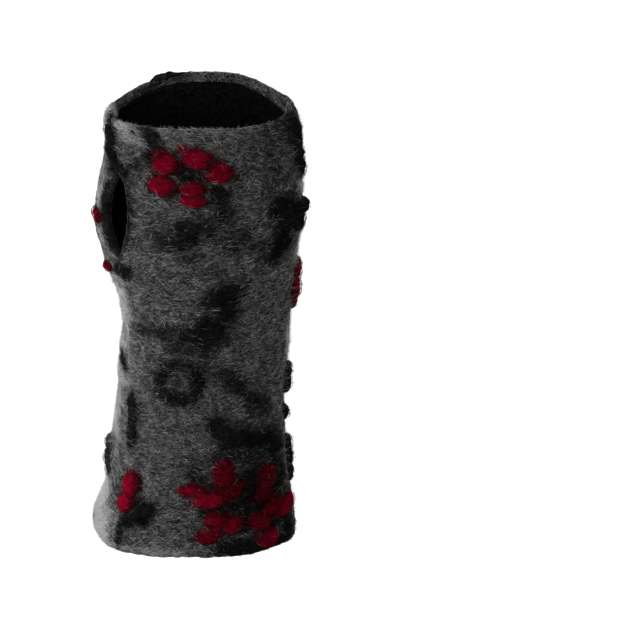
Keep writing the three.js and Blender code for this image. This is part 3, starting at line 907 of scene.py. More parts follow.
@dataclass
class FeltMap:
    """Places on the finished felt by column and row, with the heights and colours of the roving and the
    painted shade and highlight.

    waves are the lumps of the fulled cloth, of which inner_lumps is left on its inside, and fray is how
    the outlines of the spots wander. edge_steps go from the inside of a cut edge to its outside.
    """

    cloth: ClothTube
    waves: Waves = ((30.0, 0.9), (11.0, 0.65), (5.0, 0.68), (2.6, 0.38))
    seed: float = 3.7
    inner_lumps: float = 0.25
    lumps_from: float = 4.0
    fray: Waves = ((6.0, 0.35), (2.5, 0.25))
    fray_seed: float = 11.3
    edge_rows: int = 4
    edge_steps: tuple[float, ...] = (-1.0, -0.7, 0.0, 0.7)
    clearance: float = 0.3
    # how deep the painted shade round the red petals is
    petal_shade_depth: float = 0.7
    least_veil: float = 0.05
    widest_reach: float = 0.999
    neighbours: int = 4
    nearest: float = 0.2
    tree: KDTree | None = None
    # black roving and painted shade
    dark: np.ndarray = field(init=False)
    red: np.ndarray = field(init=False)
    # pale wool and painted highlight
    pale: np.ndarray = field(init=False)
    veil: np.ndarray = field(init=False)
    relief: np.ndarray = field(init=False)
    ragged: np.ndarray = field(init=False)
    points: np.ndarray = field(init=False)
    away: np.ndarray = field(init=False)
    base_row: np.ndarray = field(init=False)

    def __post_init__(self) -> None:
        """Marks the roving, pale wool, painted shade and painted highlight on the grid and wraps the grid
        over both of the tube's ends.
        """
        shape = self.cloth.angle.shape
        self.dark, self.red, self.pale, self.veil, self.relief = (np.zeros(shape) for _ in range(5))
        flat = self.cloth.face.reshape(-1, 3)
        self.ragged = unevenness(flat, self.fray, self.fray_seed).reshape(shape)
        for tufts in BLACK_TUFTS.values():
            for tuft in tufts:
                self._mark(self.dark, tuft, Fade.TUFT, 1.0 / tuft.bright)
                self._raise(tuft)
        for tufts in RED_TUFTS.values():
            for tuft in tufts:
                self._mark(self.red, tuft, Fade.PETAL, 1.0)
                self._mark(self.veil, tuft, Fade.PETAL, max(1.0 - tuft.bright, self.least_veil))
                # Painted shade on the felt round each raised red petal.
                self._mark(self.dark, tuft, Fade.HALO, self.petal_shade_depth)
                self._raise(tuft)
        for flat_spot in FLAT_ROVING_AND_SHADE:
            self._mark(self.dark, flat_spot, Fade.FLAT_AND_SHADE, flat_spot.depth)
        # Paler spots: pale wool and painted highlight.
        for flat_spot in PALE:
            self._mark(self.pale, flat_spot, Fade.PALE, flat_spot.depth)
        for patch in PRESSED:
            layer = self.red if patch.wool is Wool.RED else self.dark
            self._mark(layer, self._on_the_back(patch), Fade.PETAL, 1.0)
        self.points, self.away, self.base_row = self._wrapped()

    def _on_the_back(self, patch: Pressed) -> FlatSpot:
        """Finds a patch on the side that the tube lies on.

        Args:
            patch: the patch by its X and Y.

        Returns:
            The same patch by its angle.
        """
        form = self.cloth.form
        left = float(form.section("left", np.array(patch.y)))
        right = float(form.section("right", np.array(patch.y)))
        reach = (patch.x - (left + right) / 2) / ((right - left) / 2)
        reach = max(-self.widest_reach, min(self.widest_reach, reach))
        cosine = math.copysign(abs(reach) ** (form.back_power / 2), reach)
        return FlatSpot(360 - math.degrees(math.acos(cosine)), patch.y, patch.long, patch.wide, patch.turn)

    def locate(self, angle: float, y: float) -> tuple[float, float]:
        """Finds a place on the grid.

        Args:
            angle: its angle in degrees.
            y: its Y.

        Returns:
            Its column and row, with fractions.
        """
        cloth = self.cloth
        turned = math.radians(angle)
        start = float(cloth.form.end("forearm", np.array(turned)))
        stop = float(cloth.form.end("finger", np.array(turned)))
        share = (y - start) / (stop - start)
        row = float(np.interp(share, cloth.share, np.arange(len(cloth.share))))
        angles = cloth.angle[int(round(row))].copy()
        if cloth.closed[int(round(row))]:
            angles[-1] = angles[0] - FULL_TURN
        while turned > angles[0]:
            turned -= FULL_TURN
        while turned < angles[-1] and turned + FULL_TURN <= angles[0]:
            turned += FULL_TURN
        column = float(np.interp(-turned, -angles, np.arange(len(angles))))
        return column, row

    def _reach(self, spot: Tuft | FlatSpot) -> np.ndarray:
        """How far the grid points are from the middle of a spot.

        Args:
            spot: the spot.

        Returns:
            0 at its middle, 1 on its outline and more beyond, for each grid point.
        """
        cloth = self.cloth
        rows, columns = np.indices(cloth.angle.shape)
        column, row = self.locate(spot.angle, spot.y)
        across = columns - column
        across = (across + cloth.columns / 2) % cloth.columns - cloth.columns / 2
        across = across * cloth.step_round[rows]
        line = cloth.face[:, int(round(column)) % cloth.columns]
        distance = np.concatenate([[0.0], np.linalg.norm(np.diff(line, axis=0), axis=-1).cumsum()])
        along = distance[rows] - np.interp(row, np.arange(len(distance)), distance)
        turn = math.radians(spot.turn)
        long_side = across * math.cos(turn) + along * math.sin(turn)
        wide_side = along * math.cos(turn) - across * math.sin(turn)
        return np.hypot(long_side / (spot.long / 2), wide_side / (spot.wide / 2))

    def _mark(self, layer: np.ndarray, spot: Tuft | FlatSpot, fade: Fade, depth: float) -> None:
        """Colours a spot on one layer of the map.

        Args:
            layer: the layer, which is changed.
            spot: the spot.
            fade: how its colour fades towards its outline.
            depth: how strong its colour is in its middle.
        """
        full, gone = fade.value
        reach = self._reach(spot) + self.ragged
        np.maximum(layer, depth * smoothstep(gone, full, reach), out=layer)

    def _raise(self, tuft: Tuft) -> None:
        """Raises the height of the wool on the map.

        Args:
            tuft: the tuft that lies there.
        """
        rise = np.clip(1 - self._reach(tuft) ** (2 / PUFF_STEEPNESS), 0.0, 1.0) ** (PUFF_STEEPNESS / 2)
        height = np.where(rise > 0, height_of(tuft) * rise + self.clearance, 0.0)
        np.maximum(self.relief, height, out=self.relief)

    def lumps(self, points: np.ndarray, p: np.ndarray) -> np.ndarray:
        """How far the fulled cloth stands out from its smooth form.

        Args:
            points: places on the cloth.
            p: 1 on its outside, -1 on its inside and in between on its edges.

        Returns:
            Heights in millimetres, lower on the inside and near the surface that it lies on.
        """
        free = smoothstep(0.0, self.lumps_from, points[:, 2] - self.cloth.thickness * (1 - p) / 2)
        share = self.inner_lumps + (1 - self.inner_lumps) * (1 + p) / 2
        return unevenness(points, self.waves, self.seed) * share * free

    def _wrapped(self) -> tuple[np.ndarray, np.ndarray, np.ndarray]:
        """Lays a grid from inside the forearm end, over the outside, to inside the finger end.

        Returns:
            The grid's points, the directions that point away from the cloth, and the row of the plain
            grid that each of its rows belongs to.
        """
        last = self.cloth.rows
        path = [(j, -1.0) for j in range(self.edge_rows, 0, -1)]
        path += [(0, p) for p in self.edge_steps]
        path += [(j, 1.0) for j in range(last + 1)]
        path += [(last, p) for p in reversed(self.edge_steps)]
        path += [(j, -1.0) for j in range(last - 1, last - 1 - self.edge_rows, -1)]
        base = np.array([j for j, _ in path])
        shape = (len(path), self.cloth.columns + 1)
        i = np.broadcast_to(np.arange(shape[1]), shape).ravel()
        j = np.repeat(base, shape[1])
        p = np.repeat([q for _, q in path], shape[1])
        points, away = self.cloth.place(i, j, p)
        points = points + away * self.lumps(points, p)[:, None]
        return points.reshape(*shape, 3), away.reshape(*shape, 3), base

    def darkness_near(self, points: np.ndarray) -> np.ndarray:
        """How black the felt is under points.

        Args:
            points: places in millimetres.

        Returns:
            A mean over the grid points next to each.
        """
        if self.tree is None:
            flat = self.cloth.face.reshape(-1, 3)
            self.tree = KDTree(len(flat))
            for number, place in enumerate(flat.tolist()):
                self.tree.insert(place, number)
            self.tree.balance()
        dark = self.dark.ravel()
        result = np.empty(len(points))
        for k, point in enumerate(points.tolist()):
            near = self.tree.find_n(point, self.neighbours)
            weights = [1.0 / (distance + self.nearest) for _, _, distance in near]
            result[k] = sum(w * dark[n] for w, (_, n, _) in zip(weights, near)) / sum(weights)
        return result

    @property
    def first_row(self) -> int:
        """Row of the wrapped grid where the outside starts."""
        return self.edge_rows + len(self.edge_steps)

    def sit(self, column: np.ndarray, row: np.ndarray, lift: np.ndarray, on_wool: bool) -> np.ndarray:
        """Points that lie a height above the felt, or above the wool on it.

        Args:
            column: column numbers, with fractions.
            row: rows of the wrapped grid, with fractions.
            lift: heights in millimetres.
            on_wool: whether the height counts from the top of the roving.

        Returns:
            Points in millimetres.
        """
        count = self.cloth.columns
        j = np.clip(np.floor(row).astype(int), 0, len(self.points) - 2)
        v = np.clip(row - j, 0.0, 1.0)
        closed = self.cloth.closed[self.base_row[j]] & self.cloth.closed[self.base_row[j + 1]]
        column = np.where(closed, np.mod(column, count), np.clip(column, 0.0, count - SLIVER))
        i = np.clip(np.floor(column).astype(int), 0, count - 1)
        u = column - i
        weights = ((1 - u) * (1 - v), u * (1 - v), (1 - u) * v, u * v)
        corners = ((j, i), (j, i + 1), (j + 1, i), (j + 1, i + 1))
        point = sum(w[..., None] * self.points[c] for w, c in zip(weights, corners))
        away = sum(w[..., None] * self.away[c] for w, c in zip(weights, corners))
        if on_wool:
            outside = (j >= self.first_row) & (j < self.first_row + self.cloth.rows)
            top = sum(w * self.relief[self.base_row[a], b] for w, (a, b) in zip(weights, corners))
            lift = lift + np.where(outside, top, 0.0)
        return point + away * lift[..., None]


class NodeBench:
    """A new material's node tree, with short ways to add and join nodes."""

    def __init__(self, name: str) -> None:
        """Starts an empty material that ends in one Principled shader.

        Args:
            name: the material's name.
        """
        self.material = bpy.data.materials.new(name)
        self.material.use_nodes = True
        self.nodes = self.material.node_tree.nodes
        self.links = self.material.node_tree.links
        self.nodes.clear()
        output = self.nodes.new("ShaderNodeOutputMaterial")
        self.shader = self.nodes.new("ShaderNodeBsdfPrincipled")
        self.links.new(self.shader.outputs["BSDF"], output.inputs["Surface"])

    def plug(self, socket: Socket, value: object) -> None:
        """Links an output to a socket, or sets the socket to a plain value.

        Args:
            socket: the input.
            value: an output socket, a number, or a colour with or without its alpha.
        """
        if isinstance(value, Socket):
            self.links.new(value, socket)
        elif socket.type == "RGBA" and len(value) == 3:
            socket.default_value = (*value, 1.0)
        else:
            socket.default_value = value

    def add(
        self, kind: str, inputs: dict[str | int, object] | None = None, **settings: object
    ) -> bpy.types.Node:
        """Adds a node.

        Args:
            kind: the node's type, without its leading ShaderNode.
            inputs: values or output sockets by input name or number.
            settings: properties of the node.

        Returns:
            The new node.
        """
        node = self.nodes.new("ShaderNode" + kind)
        for name, value in settings.items():
            setattr(node, name, value)
        for name, value in (inputs or {}).items():
            self.plug(node.inputs[name], value)
        return node

    def math(self, operation: str, a: object, b: object) -> Socket:
        """The result of a Math node."""
        return self.add("Math", {0: a, 1: b}, operation=operation).outputs[0]

    def vector(self, operation: str, a: object, b: object) -> Socket:
        """The result of a Vector Math node, whose second input is a plain factor if it scales."""
        second = "Scale" if operation == "SCALE" else 1
        return self.add("VectorMath", {0: a, second: b}, operation=operation).outputs[0]

    def noise(self, source: Socket, size_mm: float, detail: float) -> bpy.types.Node:
        """A noise texture with waves of about a size."""
        return self.add("TexNoise", {"Vector": source, "Scale": 1 / (size_mm * MM), "Detail": detail})

    def attribute(self, name: str) -> Socket:
        """A mesh attribute as a number."""
        return self.add("Attribute", attribute_name=name).outputs["Fac"]

    def ramp(self, value: Socket, places: tuple[float, ...], colours: tuple[Colour, ...]) -> Socket:
        """Turns a value into a colour.

        Args:
            value: the value.
            places: values at which the colours stand.
            colours: the colours.

        Returns:
            The colour's socket.
        """
        node = self.add("ValToRGB", {0: value})
        elements = node.color_ramp.elements
        while len(elements) < len(places):
            elements.new(0.5)
        for element, place, colour in zip(elements, places, colours):
            element.position = place
            element.color = (*colour, 1.0)
        return node.outputs["Color"]

    def mix(self, share: Socket, a: Socket, b: Socket) -> Socket:
        """A mix of two colours."""
        return self.add("Mix", {0: share, 6: a, 7: b}, data_type="RGBA").outputs[2]

    def finish(self, colour: Socket | Colour, **sockets: object) -> bpy.types.Material:
        """Puts a colour and other values on the shader.

        Args:
            colour: the base colour.
            sockets: values of the shader's other inputs, by the short names below.

        Returns:
            The material.
        """
        names = {
            "roughness": "Roughness",
            "specular": "Specular IOR Level",
            "sheen": "Sheen Weight",
            "sheen_roughness": "Sheen Roughness",
            "sheen_tint": "Sheen Tint",
            "normal": "Normal",
            "glow": "Emission Color",
            "glow_strength": "Emission Strength",
        }
        self.plug(self.shader.inputs["Base Color"], colour)
        for name, value in sockets.items():
            self.plug(self.shader.inputs[names[name]], value)
        return self.material


@dataclass(frozen=True)
class FibreGrain:
    """Fine streaks of wool, as crossing layers of stretched noise on a piece's cloth map."""

    directions: tuple[float, ...] = (0.05, 0.6, -0.5)
    across_mm: float = 0.4
    along_mm: float = 2.8
    curl_mm: float = 1.3
    curl_size_mm: float = 3.4

    def height(self, bench: NodeBench, source: Socket) -> Socket:
        """Adds the streaks to a material.

        Args:
            bench: the material.
            source: coordinates in metres.

        Returns:
            Heights from 0 to 1.
        """
        wander = bench.noise(source, self.curl_size_mm, 1.0)
        centred = bench.vector("SUBTRACT", wander.outputs["Color"], (0.5, 0.5, 0.5))
        bent = bench.vector("ADD", source, bench.vector("SCALE", centred, self.curl_mm * MM))
        stretch = (1 / (self.along_mm * MM), 1 / (self.across_mm * MM), 1 / (self.across_mm * MM))
        total = None
        for direction in self.directions:
            turned = bench.add(
                "VectorRotate", {"Vector": bent, "Angle": direction}, rotation_type="Z_AXIS"
            ).outputs[0]
            scaled = bench.vector("MULTIPLY", turned, stretch)
            streak = bench.add("TexNoise", {"Vector": scaled, "Scale": 1.0, "Detail": 2.0}).outputs["Fac"]
            total = streak if total is None else bench.math("MAXIMUM", total, streak)
        return total


@dataclass(frozen=True)
class HeatherFelt:
    """Fulled grey wool with black and red roving worked into it.

    Each _at field holds where on the grain the colours of one wool stand, and each _from field from and
    up to which depth of its mask that wool comes in.
    """

    deep: Colour = (0.006, 0.006, 0.0062)
    middle: Colour = (0.032, 0.032, 0.0323)
    pale: Colour = (0.13, 0.13, 0.131)
    white: Colour = (0.6, 0.6, 0.604)
    black: Colour = (0.003, 0.003, 0.0032)
    black_pale: Colour = (0.016, 0.016, 0.0163)
    red: Colour = (0.05, 0.0008, 0.004)
    red_middle: Colour = (0.15, 0.0014, 0.0118)
    red_pale: Colour = (0.26, 0.005, 0.024)
    heather_at: tuple[float, ...] = (0.47, 0.58, 0.72)
    pale_and_highlight_at: tuple[float, ...] = (0.44, 0.54, 0.7)
    palest_and_highlight_at: tuple[float, ...] = (0.42, 0.58)
    black_and_shade_at: tuple[float, ...] = (0.5, 0.74)
    blood_at: tuple[float, ...] = (0.44, 0.58, 0.72)
    pale_and_highlight_from: tuple[float, float] = (0.1, 1.3)
    palest_and_highlight_from: tuple[float, float] = (1.1, 2.4)
    black_and_shade_from: tuple[float, float] = (0.0, 0.9)
    blood_from: tuple[float, float] = (0.1, 0.9)
    grain: FibreGrain = FibreGrain()
    cloud_mm: float = 7.0
    cloud_depth: float = 0.3
    rough_mm: float = 1.6
    jitter: float = 0.6
    jitter_gain: float = 4.0
    bump_mm: float = 0.5
    bump_strength: float = 0.7
    sheen: float = 0.45
    sheen_roughness: float = 0.22
    sheen_tint: Colour = (0.8, 0.8, 0.8)

    def material(self, name: str, mapped: bool) -> bpy.types.Material:
        """Builds the material.

        Args:
            name: its name.
            mapped: whether the piece has a cloth map. If not, its fibres follow its own coordinates.

        Returns:
            The material.
        """
        bench = NodeBench(name)
        place = bench.add("TexCoord").outputs["Object"]
        source = bench.add("UVMap", uv_map="cloth").outputs["UV"] if mapped else place
        streaks = self.grain.height(bench, source)
        cloudy = bench.math("SUBTRACT", bench.noise(place, self.cloud_mm, 3.0).outputs["Fac"], 0.5)
        level = bench.math("ADD", streaks, bench.math("MULTIPLY", cloudy, self.cloud_depth))
        rough = bench.noise(place, self.rough_mm, 2.0).outputs["Fac"]
        heather = bench.ramp(level, self.heather_at, (self.deep, self.middle, self.pale))
        pale_and_highlight_tone = bench.ramp(level, self.pale_and_highlight_at, (self.middle, self.pale, self.white))
        palest_and_highlight_tone = bench.ramp(level, self.palest_and_highlight_at, (self.pale, self.white))
        black_and_shade_tone = bench.ramp(level, self.black_and_shade_at, (self.black, self.black_pale))
        blood = bench.ramp(level, self.blood_at, (self.red, self.red_middle, self.red_pale))
        # On red tufts, bright holds each tuft's own brightness and the painted shade towards its edge.
        lit = bench.vector("SCALE", blood, bench.attribute("bright"))
        colour = heather
        # The pale mask lays pale wool and painted highlight, and the dark mask lays black wool and painted
        # shade.
        for mask, span, wool in (
            ("pale", self.pale_and_highlight_from, pale_and_highlight_tone),
            ("pale", self.palest_and_highlight_from, palest_and_highlight_tone),
            ("dark", self.black_and_shade_from, black_and_shade_tone),
            ("red", self.blood_from, lit),
        ):
            colour = bench.mix(self._broken(bench, bench.attribute(mask), rough, span), colour, wool)
        bump = {"Height": streaks, "Distance": self.bump_mm * MM, "Strength": self.bump_strength}
        return bench.finish(
            colour,
            roughness=1.0,
            specular=0.0,
            sheen=self.sheen,
            sheen_roughness=self.sheen_roughness,
            sheen_tint=self.sheen_tint,
            normal=bench.add("Bump", bump).outputs["Normal"],
        )

    def _broken(self, bench: NodeBench, mask: Socket, rough: Socket, span: tuple[float, float]) -> Socket:
        """Breaks up the soft edge of a mask by noise.

        Args:
            bench: the material.
            mask: how deep one wool lies there.
            rough: the noise.
            span: depths at which that wool starts to come in and at which it covers all.

        Returns:
            How much of that wool shows, from 0 to 1.
        """
        jitter = bench.math("MULTIPLY", bench.math("SUBTRACT", rough, 0.5), self.jitter)
        near = bench.math("MINIMUM", bench.math("MULTIPLY", mask, self.jitter_gain), 1.0)
        shifted = bench.math("ADD", mask, bench.math("MULTIPLY", jitter, near))
        inputs = {0: shifted, 1: span[0], 2: span[1]}
        return bench.add("MapRange", inputs, interpolation_type="SMOOTHSTEP").outputs[0]


@dataclass(frozen=True)
class NappedFleece:
    """Black fleece with a short nap."""

    deep: Colour = (0.0012, 0.0012, 0.0013)
    pale: Colour = (0.0055, 0.0055, 0.0058)
    nap_at: tuple[float, ...] = (0.35, 0.7)
    pile_mm: float = 1.4
    bump_mm: float = 0.3
    bump_strength: float = 0.6

    def material(self, name: str) -> bpy.types.Material:
        """Builds the material.

        Args:
            name: its name.

        Returns:
            The material.
        """
        bench = NodeBench(name)
        pile = bench.noise(bench.add("TexCoord").outputs["Object"], self.pile_mm, 3.0).outputs["Fac"]
        colour = bench.ramp(pile, self.nap_at, (self.deep, self.pale))
        bump = {"Height": pile, "Distance": self.bump_mm * MM, "Strength": self.bump_strength}
        normal = bench.add("Bump", bump).outputs["Normal"]
        return bench.finish(colour, roughness=1.0, specular=0.0, sheen=0.0, normal=normal)


@dataclass(frozen=True)
class HairWool:
    """Single wool hairs, each with a tone of its own."""

    tone: HairTone
    roughness: float = 0.9

    def material(self) -> bpy.types.Material:
        """Builds the material.

        Returns:
            The material, named for its tone.
        """
        bench = NodeBench(self.tone.name.lower() + "_hair")
        colour = bench.ramp(bench.attribute("tone"), (0.0, 1.0), self.tone.value)
        return bench.finish(colour, roughness=self.roughness, specular=0.0)


def add_piece(
    name: str, mesh: bpy.types.Mesh, material: bpy.types.Material, slot: str, *nodes: str
) -> bpy.types.Object:
    """Puts a finished mesh into the scene.

    Args:
        name: the piece's name.
        mesh: its mesh, in the part's frame.
        material: its finish.
        slot: the record's slot of that finish, which is not used.
        nodes: solids that it stands for.

    Returns:
        The new object, which rides on the part's body.
    """
    mesh.name = name
    mesh.materials.clear()
    mesh.materials.append(material)
    mesh.polygons.foreach_set("use_smooth", np.ones(len(mesh.polygons), bool))
    piece = bpy.data.objects.new(name, mesh)
    bpy.context.scene.collection.objects.link(piece)
    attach(piece, BODY)
    if nodes:
        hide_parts(*nodes)
    triangles = sum(len(p.vertices) - 2 for p in mesh.polygons)
    log.info("%s: %d triangles", name, triangles)
    return piece


@dataclass
class FeltShell:
    """The fulled grey tube with its seam, thumb opening, rim and hem.

    painted_bright is how bright flat red wool is, the thumb opening's edges are painted black by a set
    share as the shade inside the opening, and colour_depth where between the inside and the outside of a
    cut edge the colours have faded in.
    """

    felt: FeltMap
    finish: HeatherFelt = HeatherFelt()
    edge_cuts: int = 3
    painted_bright: float = 0.6
    lip_shade: float = 0.75
    colour_depth: float = 0.2

    def build(self) -> bpy.types.Object:
        """Builds the shell.

        Returns:
            The new object.
        """
        felt, cloth = self.felt, self.felt.cloth
        mesh = cloth.slab(self.edge_cuts)
        i, j, p = cloth.numbers_of(mesh)
        points, away = cloth.place(i, j, p)
        points += away * felt.lumps(points, p)[:, None]
        points[:, 2] = np.maximum(points[:, 2], 0.0)
        outside = smoothstep(-1.0, self.colour_depth, p)
        # The thumb opening's cut edges are painted black as the shade inside the opening.
        lip = ((i == 0) | (i == cloth.columns)) & ~cloth.closed[j]
        dark = np.maximum(felt.dark[j, i] * outside, np.where(lip, self.lip_shade, 0.0))
        set_float(mesh, "dark", dark)
        set_float(mesh, "red", felt.red[j, i] * outside)
        # The pale mask holds pale wool and painted highlight.
        set_float(mesh, "pale", felt.pale[j, i] * outside)
        set_float(mesh, "bright", np.full(len(points), self.painted_bright))
        self._map_cloth(mesh, i, j, p)
        set_points(mesh, points * MM)
        sew(mesh)
        material = self.finish.material("heather_felt", True)
        return add_piece("felt_cloth", mesh, material, "grey_felt", "felt_shell")

    def _map_cloth(self, mesh: bpy.types.Mesh, i: np.ndarray, j: np.ndarray, p: np.ndarray) -> None:
        """Gives the mesh a map in metres of cloth, which runs on over its cut edges.

        Args:
            mesh: the mesh, before it is sewn.
            i: column number of each point.
            j: row number of each point.
            p: 1 on the outside of the cloth, -1 on its inside and in between on its edges.
        """
        cloth = self.felt.cloth
        corner = np.empty(len(mesh.loops), np.int32)
        mesh.loops.foreach_get("vertex_index", corner)
        starts = np.empty(len(mesh.polygons), np.int32)
        mesh.polygons.foreach_get("loop_start", starts)
        sizes = np.diff(np.append(starts, len(corner)))
        step_round = float(cloth.step_round.mean())
        step_along = float(np.linalg.norm(np.diff(cloth.face, axis=0), axis=-1).mean())
        i, j, down = i[corner], j[corner], (1 - p[corner]) / 2 * cloth.thickness
        is_wall = {}
        for name, number in (("lip", i), ("end", j)):
            flat = np.maximum.reduceat(number, starts) == np.minimum.reduceat(number, starts)
            is_wall[name] = np.repeat(flat, sizes)
        across = i * step_round + np.where(is_wall["lip"], np.where(i > 0, down, -down), 0.0)
        along = j * step_along + np.where(is_wall["end"], np.where(j > 0, down, -down), 0.0)
        layer = mesh.uv_layers.new(name="cloth")
        layer.uv.foreach_set("vector", (np.stack([across, along], axis=-1) * MM).astype(np.float32).ravel())


@dataclass
class FleeceLining:
    """The black fleece tube sewn inside the felt."""

    form: WristForm
    finish: NappedFleece = NappedFleece()
    columns: int = 100
    rows: int = 96
    depth: float = 3.75
    thickness: float = 1.2
    short: Short = Short(4.8, 8.3, 12.0)
    thumb_short: float = 1.6
    edge_cuts: int = 1
    waves: Waves = ((24.0, 0.35), (8.0, 0.2))
    seed: float = 8.1
    least_sag: float = -0.1

    def build(self) -> bpy.types.Object:
        """Builds the lining.

        Returns:
            The new object.
        """
        cloth = ClothTube(
            self.form,
            columns=self.columns,
            rows=self.rows,
            depth=self.depth,
            thickness=self.thickness,
            short=self.short,
            thumb_short=self.thumb_short,
            seam_dip=0.0,
        )
        mesh = cloth.slab(self.edge_cuts)
        i, j, p = cloth.numbers_of(mesh)
        points, _ = cloth.place(i, j, p)
        sag = np.maximum(unevenness(cloth.face[j, i], self.waves, self.seed), self.least_sag)
        points -= cloth.outward[j, i] * sag[:, None]
        set_points(mesh, points * MM)
        sew(mesh)
        material = self.finish.material("napped_fleece")
        return add_piece("fleece_cloth", mesh, material, "black_fleece", "fleece_lining")


@dataclass
class RovingPatch:
    """One group of tufts, fused into a single lump of wool that follows the felt.

    The red wool is painted darker towards a tuft's edge by a set share, as shade on its rounded sides, from
    and up to two given shares of the tuft's size, and bare_at gives the shares at which its red has gone
    and at which it is full.
    """

    felt: FeltMap
    node: str
    wool: Wool
    tufts: tuple[Tuft, ...]
    material: bpy.types.Material
    root: float = 1.3
    lowest: float = 0.05
    voxel: float = 0.65
    fineness: int = 4
    smoothing: int = 3
    smoothing_factor: float = 0.5
    waves: Waves = ((5.0, 0.6), (2.2, 0.4), (1.2, 0.1))
    seed: float = 5.9
    fray: Waves = ((4.0, 0.12), (1.6, 0.22))
    fray_seed: float = 4.4
    # painted shade on the rounded edges of red tufts
    edge_shade: float = 0.65
    edge_shade_at: tuple[float, float] = (0.5, 1.1)
    bare_at: tuple[float, float] = (1.3, 0.8)

    def build(self) -> bpy.types.Object:
        """Builds the patch.

        Returns:
            The new object.
        """
        mesh = self._fused(self._puffs())
        self._soften(mesh)
        points = points_of(mesh) / MM
        normals = np.empty(len(mesh.vertices) * 3, np.float32)
        mesh.vertices.foreach_get("normal", normals)
        points += normals.reshape(-1, 3) * unevenness(points, self.waves, self.seed)[:, None]
        points[:, 2] = np.maximum(points[:, 2], self.lowest)
        set_points(mesh, points * MM)
        set_float(mesh, "dark", self.felt.darkness_near(points))
        if self.wool is Wool.RED:
            bright, red = self._redness(points)
            set_float(mesh, "bright", bright)
            set_float(mesh, "red", red)
        nodes = () if self.node in SCENE_ONLY else (self.node,)
        return add_piece("wool_" + self.node, mesh, self.material, self.wool.value, *nodes)

    def _lay(self, tuft: Tuft, a: np.ndarray, b: np.ndarray, lift: np.ndarray) -> np.ndarray:
        """Points over the felt near a tuft.

        Args:
            tuft: the tuft.
            a: distances from its middle along its long side.
            b: distances from its middle along its wide side.
            lift: heights over the felt.

        Returns:
            The points in millimetres.
        """
        cloth = self.felt.cloth
        column, row = self.felt.locate(tuft.angle, tuft.y)
        turn = math.radians(tuft.turn)
        across = a * math.cos(turn) - b * math.sin(turn)
        along = a * math.sin(turn) + b * math.cos(turn)
        line = self.felt.points[:, int(round(column)) % cloth.columns]
        distance = np.concatenate([[0.0], np.linalg.norm(np.diff(line, axis=0), axis=-1).cumsum()])
        numbers = np.arange(len(distance))
        at = np.interp(row + self.felt.first_row, numbers, distance) + along
        rows = np.interp(at, distance, numbers)
        columns = column + across / cloth.step_round[int(round(row))]
        return self.felt.sit(columns, rows, lift, on_wool=False)

    def _puffs(self) -> bpy.types.Mesh:
        """Lays all tufts on the felt as round puffs with their roots in it.

        Returns:
            One mesh of them all.
        """
        bm = bmesh.new()
        for tuft in self.tufts:
            ball = bmesh.ops.create_icosphere(bm, subdivisions=self.fineness, radius=1.0)["verts"]
            unit = np.array([v.co for v in ball])
            reach = np.maximum(np.hypot(unit[:, 0], unit[:, 1]), SLIVER)
            flat = unit[:, :2] * (reach ** (PUFF_STEEPNESS - 1))[:, None]
            rise = np.sign(unit[:, 2]) * np.abs(unit[:, 2]) ** PUFF_STEEPNESS
            lift = rise * np.where(rise > 0, height_of(tuft), self.root)
            laid = self._lay(tuft, flat[:, 0] * tuft.long / 2, flat[:, 1] * tuft.wide / 2, lift)
            for vertex, point in zip(ball, laid * MM):
                vertex.co = point
        bmesh.ops.recalc_face_normals(bm, faces=bm.faces[:])
        mesh = bpy.data.meshes.new(self.node + "_puffs")
        bm.to_mesh(mesh)
        bm.free()
        return mesh

    def _fused(self, raw: bpy.types.Mesh) -> bpy.types.Mesh:
        """Draws one closed skin over all the puffs.

        Args:
            raw: the puffs, which are removed.

        Returns:
            The skin.
        """
        holder = bpy.data.objects.new(raw.name, raw)
        bpy.context.scene.collection.objects.link(holder)
        skin = holder.modifiers.new("fuse", "REMESH")
        skin.mode = "VOXEL"
        skin.voxel_size = self.voxel * MM
        graph = bpy.context.evaluated_depsgraph_get()
        mesh = bpy.data.meshes.new_from_object(holder.evaluated_get(graph))
        bpy.data.objects.remove(holder)
        bpy.data.meshes.remove(raw)
        return mesh

    def _soften(self, mesh: bpy.types.Mesh) -> None:
        """Rounds the creases between the puffs a little.

        Args:
            mesh: the skin over them.
        """
        bm = bmesh.new()
        bm.from_mesh(mesh)
        axes = {"use_axis_x": True, "use_axis_y": True, "use_axis_z": True}
        for _ in range(self.smoothing):
            bmesh.ops.smooth_vert(bm, verts=bm.verts[:], factor=self.smoothing_factor, **axes)
        bm.to_mesh(mesh)
        bm.free()

    def _redness(self, points: np.ndarray) -> tuple[np.ndarray, np.ndarray]:
        """How bright and how red the wool is at each point.

        Args:
            points: places in millimetres.

        Returns:
            The brightness of the nearest tuft, with painted shade towards its edge, and its share of red
            wool.
        """
        best = np.full(len(points), np.inf)
        bright = np.ones(len(points))
        zero = np.zeros(1)
        for tuft in self.tufts:
            middle = self._lay(tuft, zero, zero, zero)[0]
            long_side = self._lay(tuft, zero + 1.0, zero, zero)[0] - middle
            wide_side = self._lay(tuft, zero, zero + 1.0, zero)[0] - middle
            away = points - middle
            a = away @ long_side / (tuft.long / 2)
            b = away @ wide_side / (tuft.wide / 2)
            reach = np.hypot(a, b)
            nearer = reach < best
            best = np.where(nearer, reach, best)
            bright = np.where(nearer, tuft.bright, bright)
        worn = best + unevenness(points, self.fray, self.fray_seed)
        # Painted shade towards the edge of each red tuft.
        dimmed = bright * (1 - self.edge_shade * smoothstep(*self.edge_shade_at, best))
        return dimmed, smoothstep(*self.bare_at, worn)


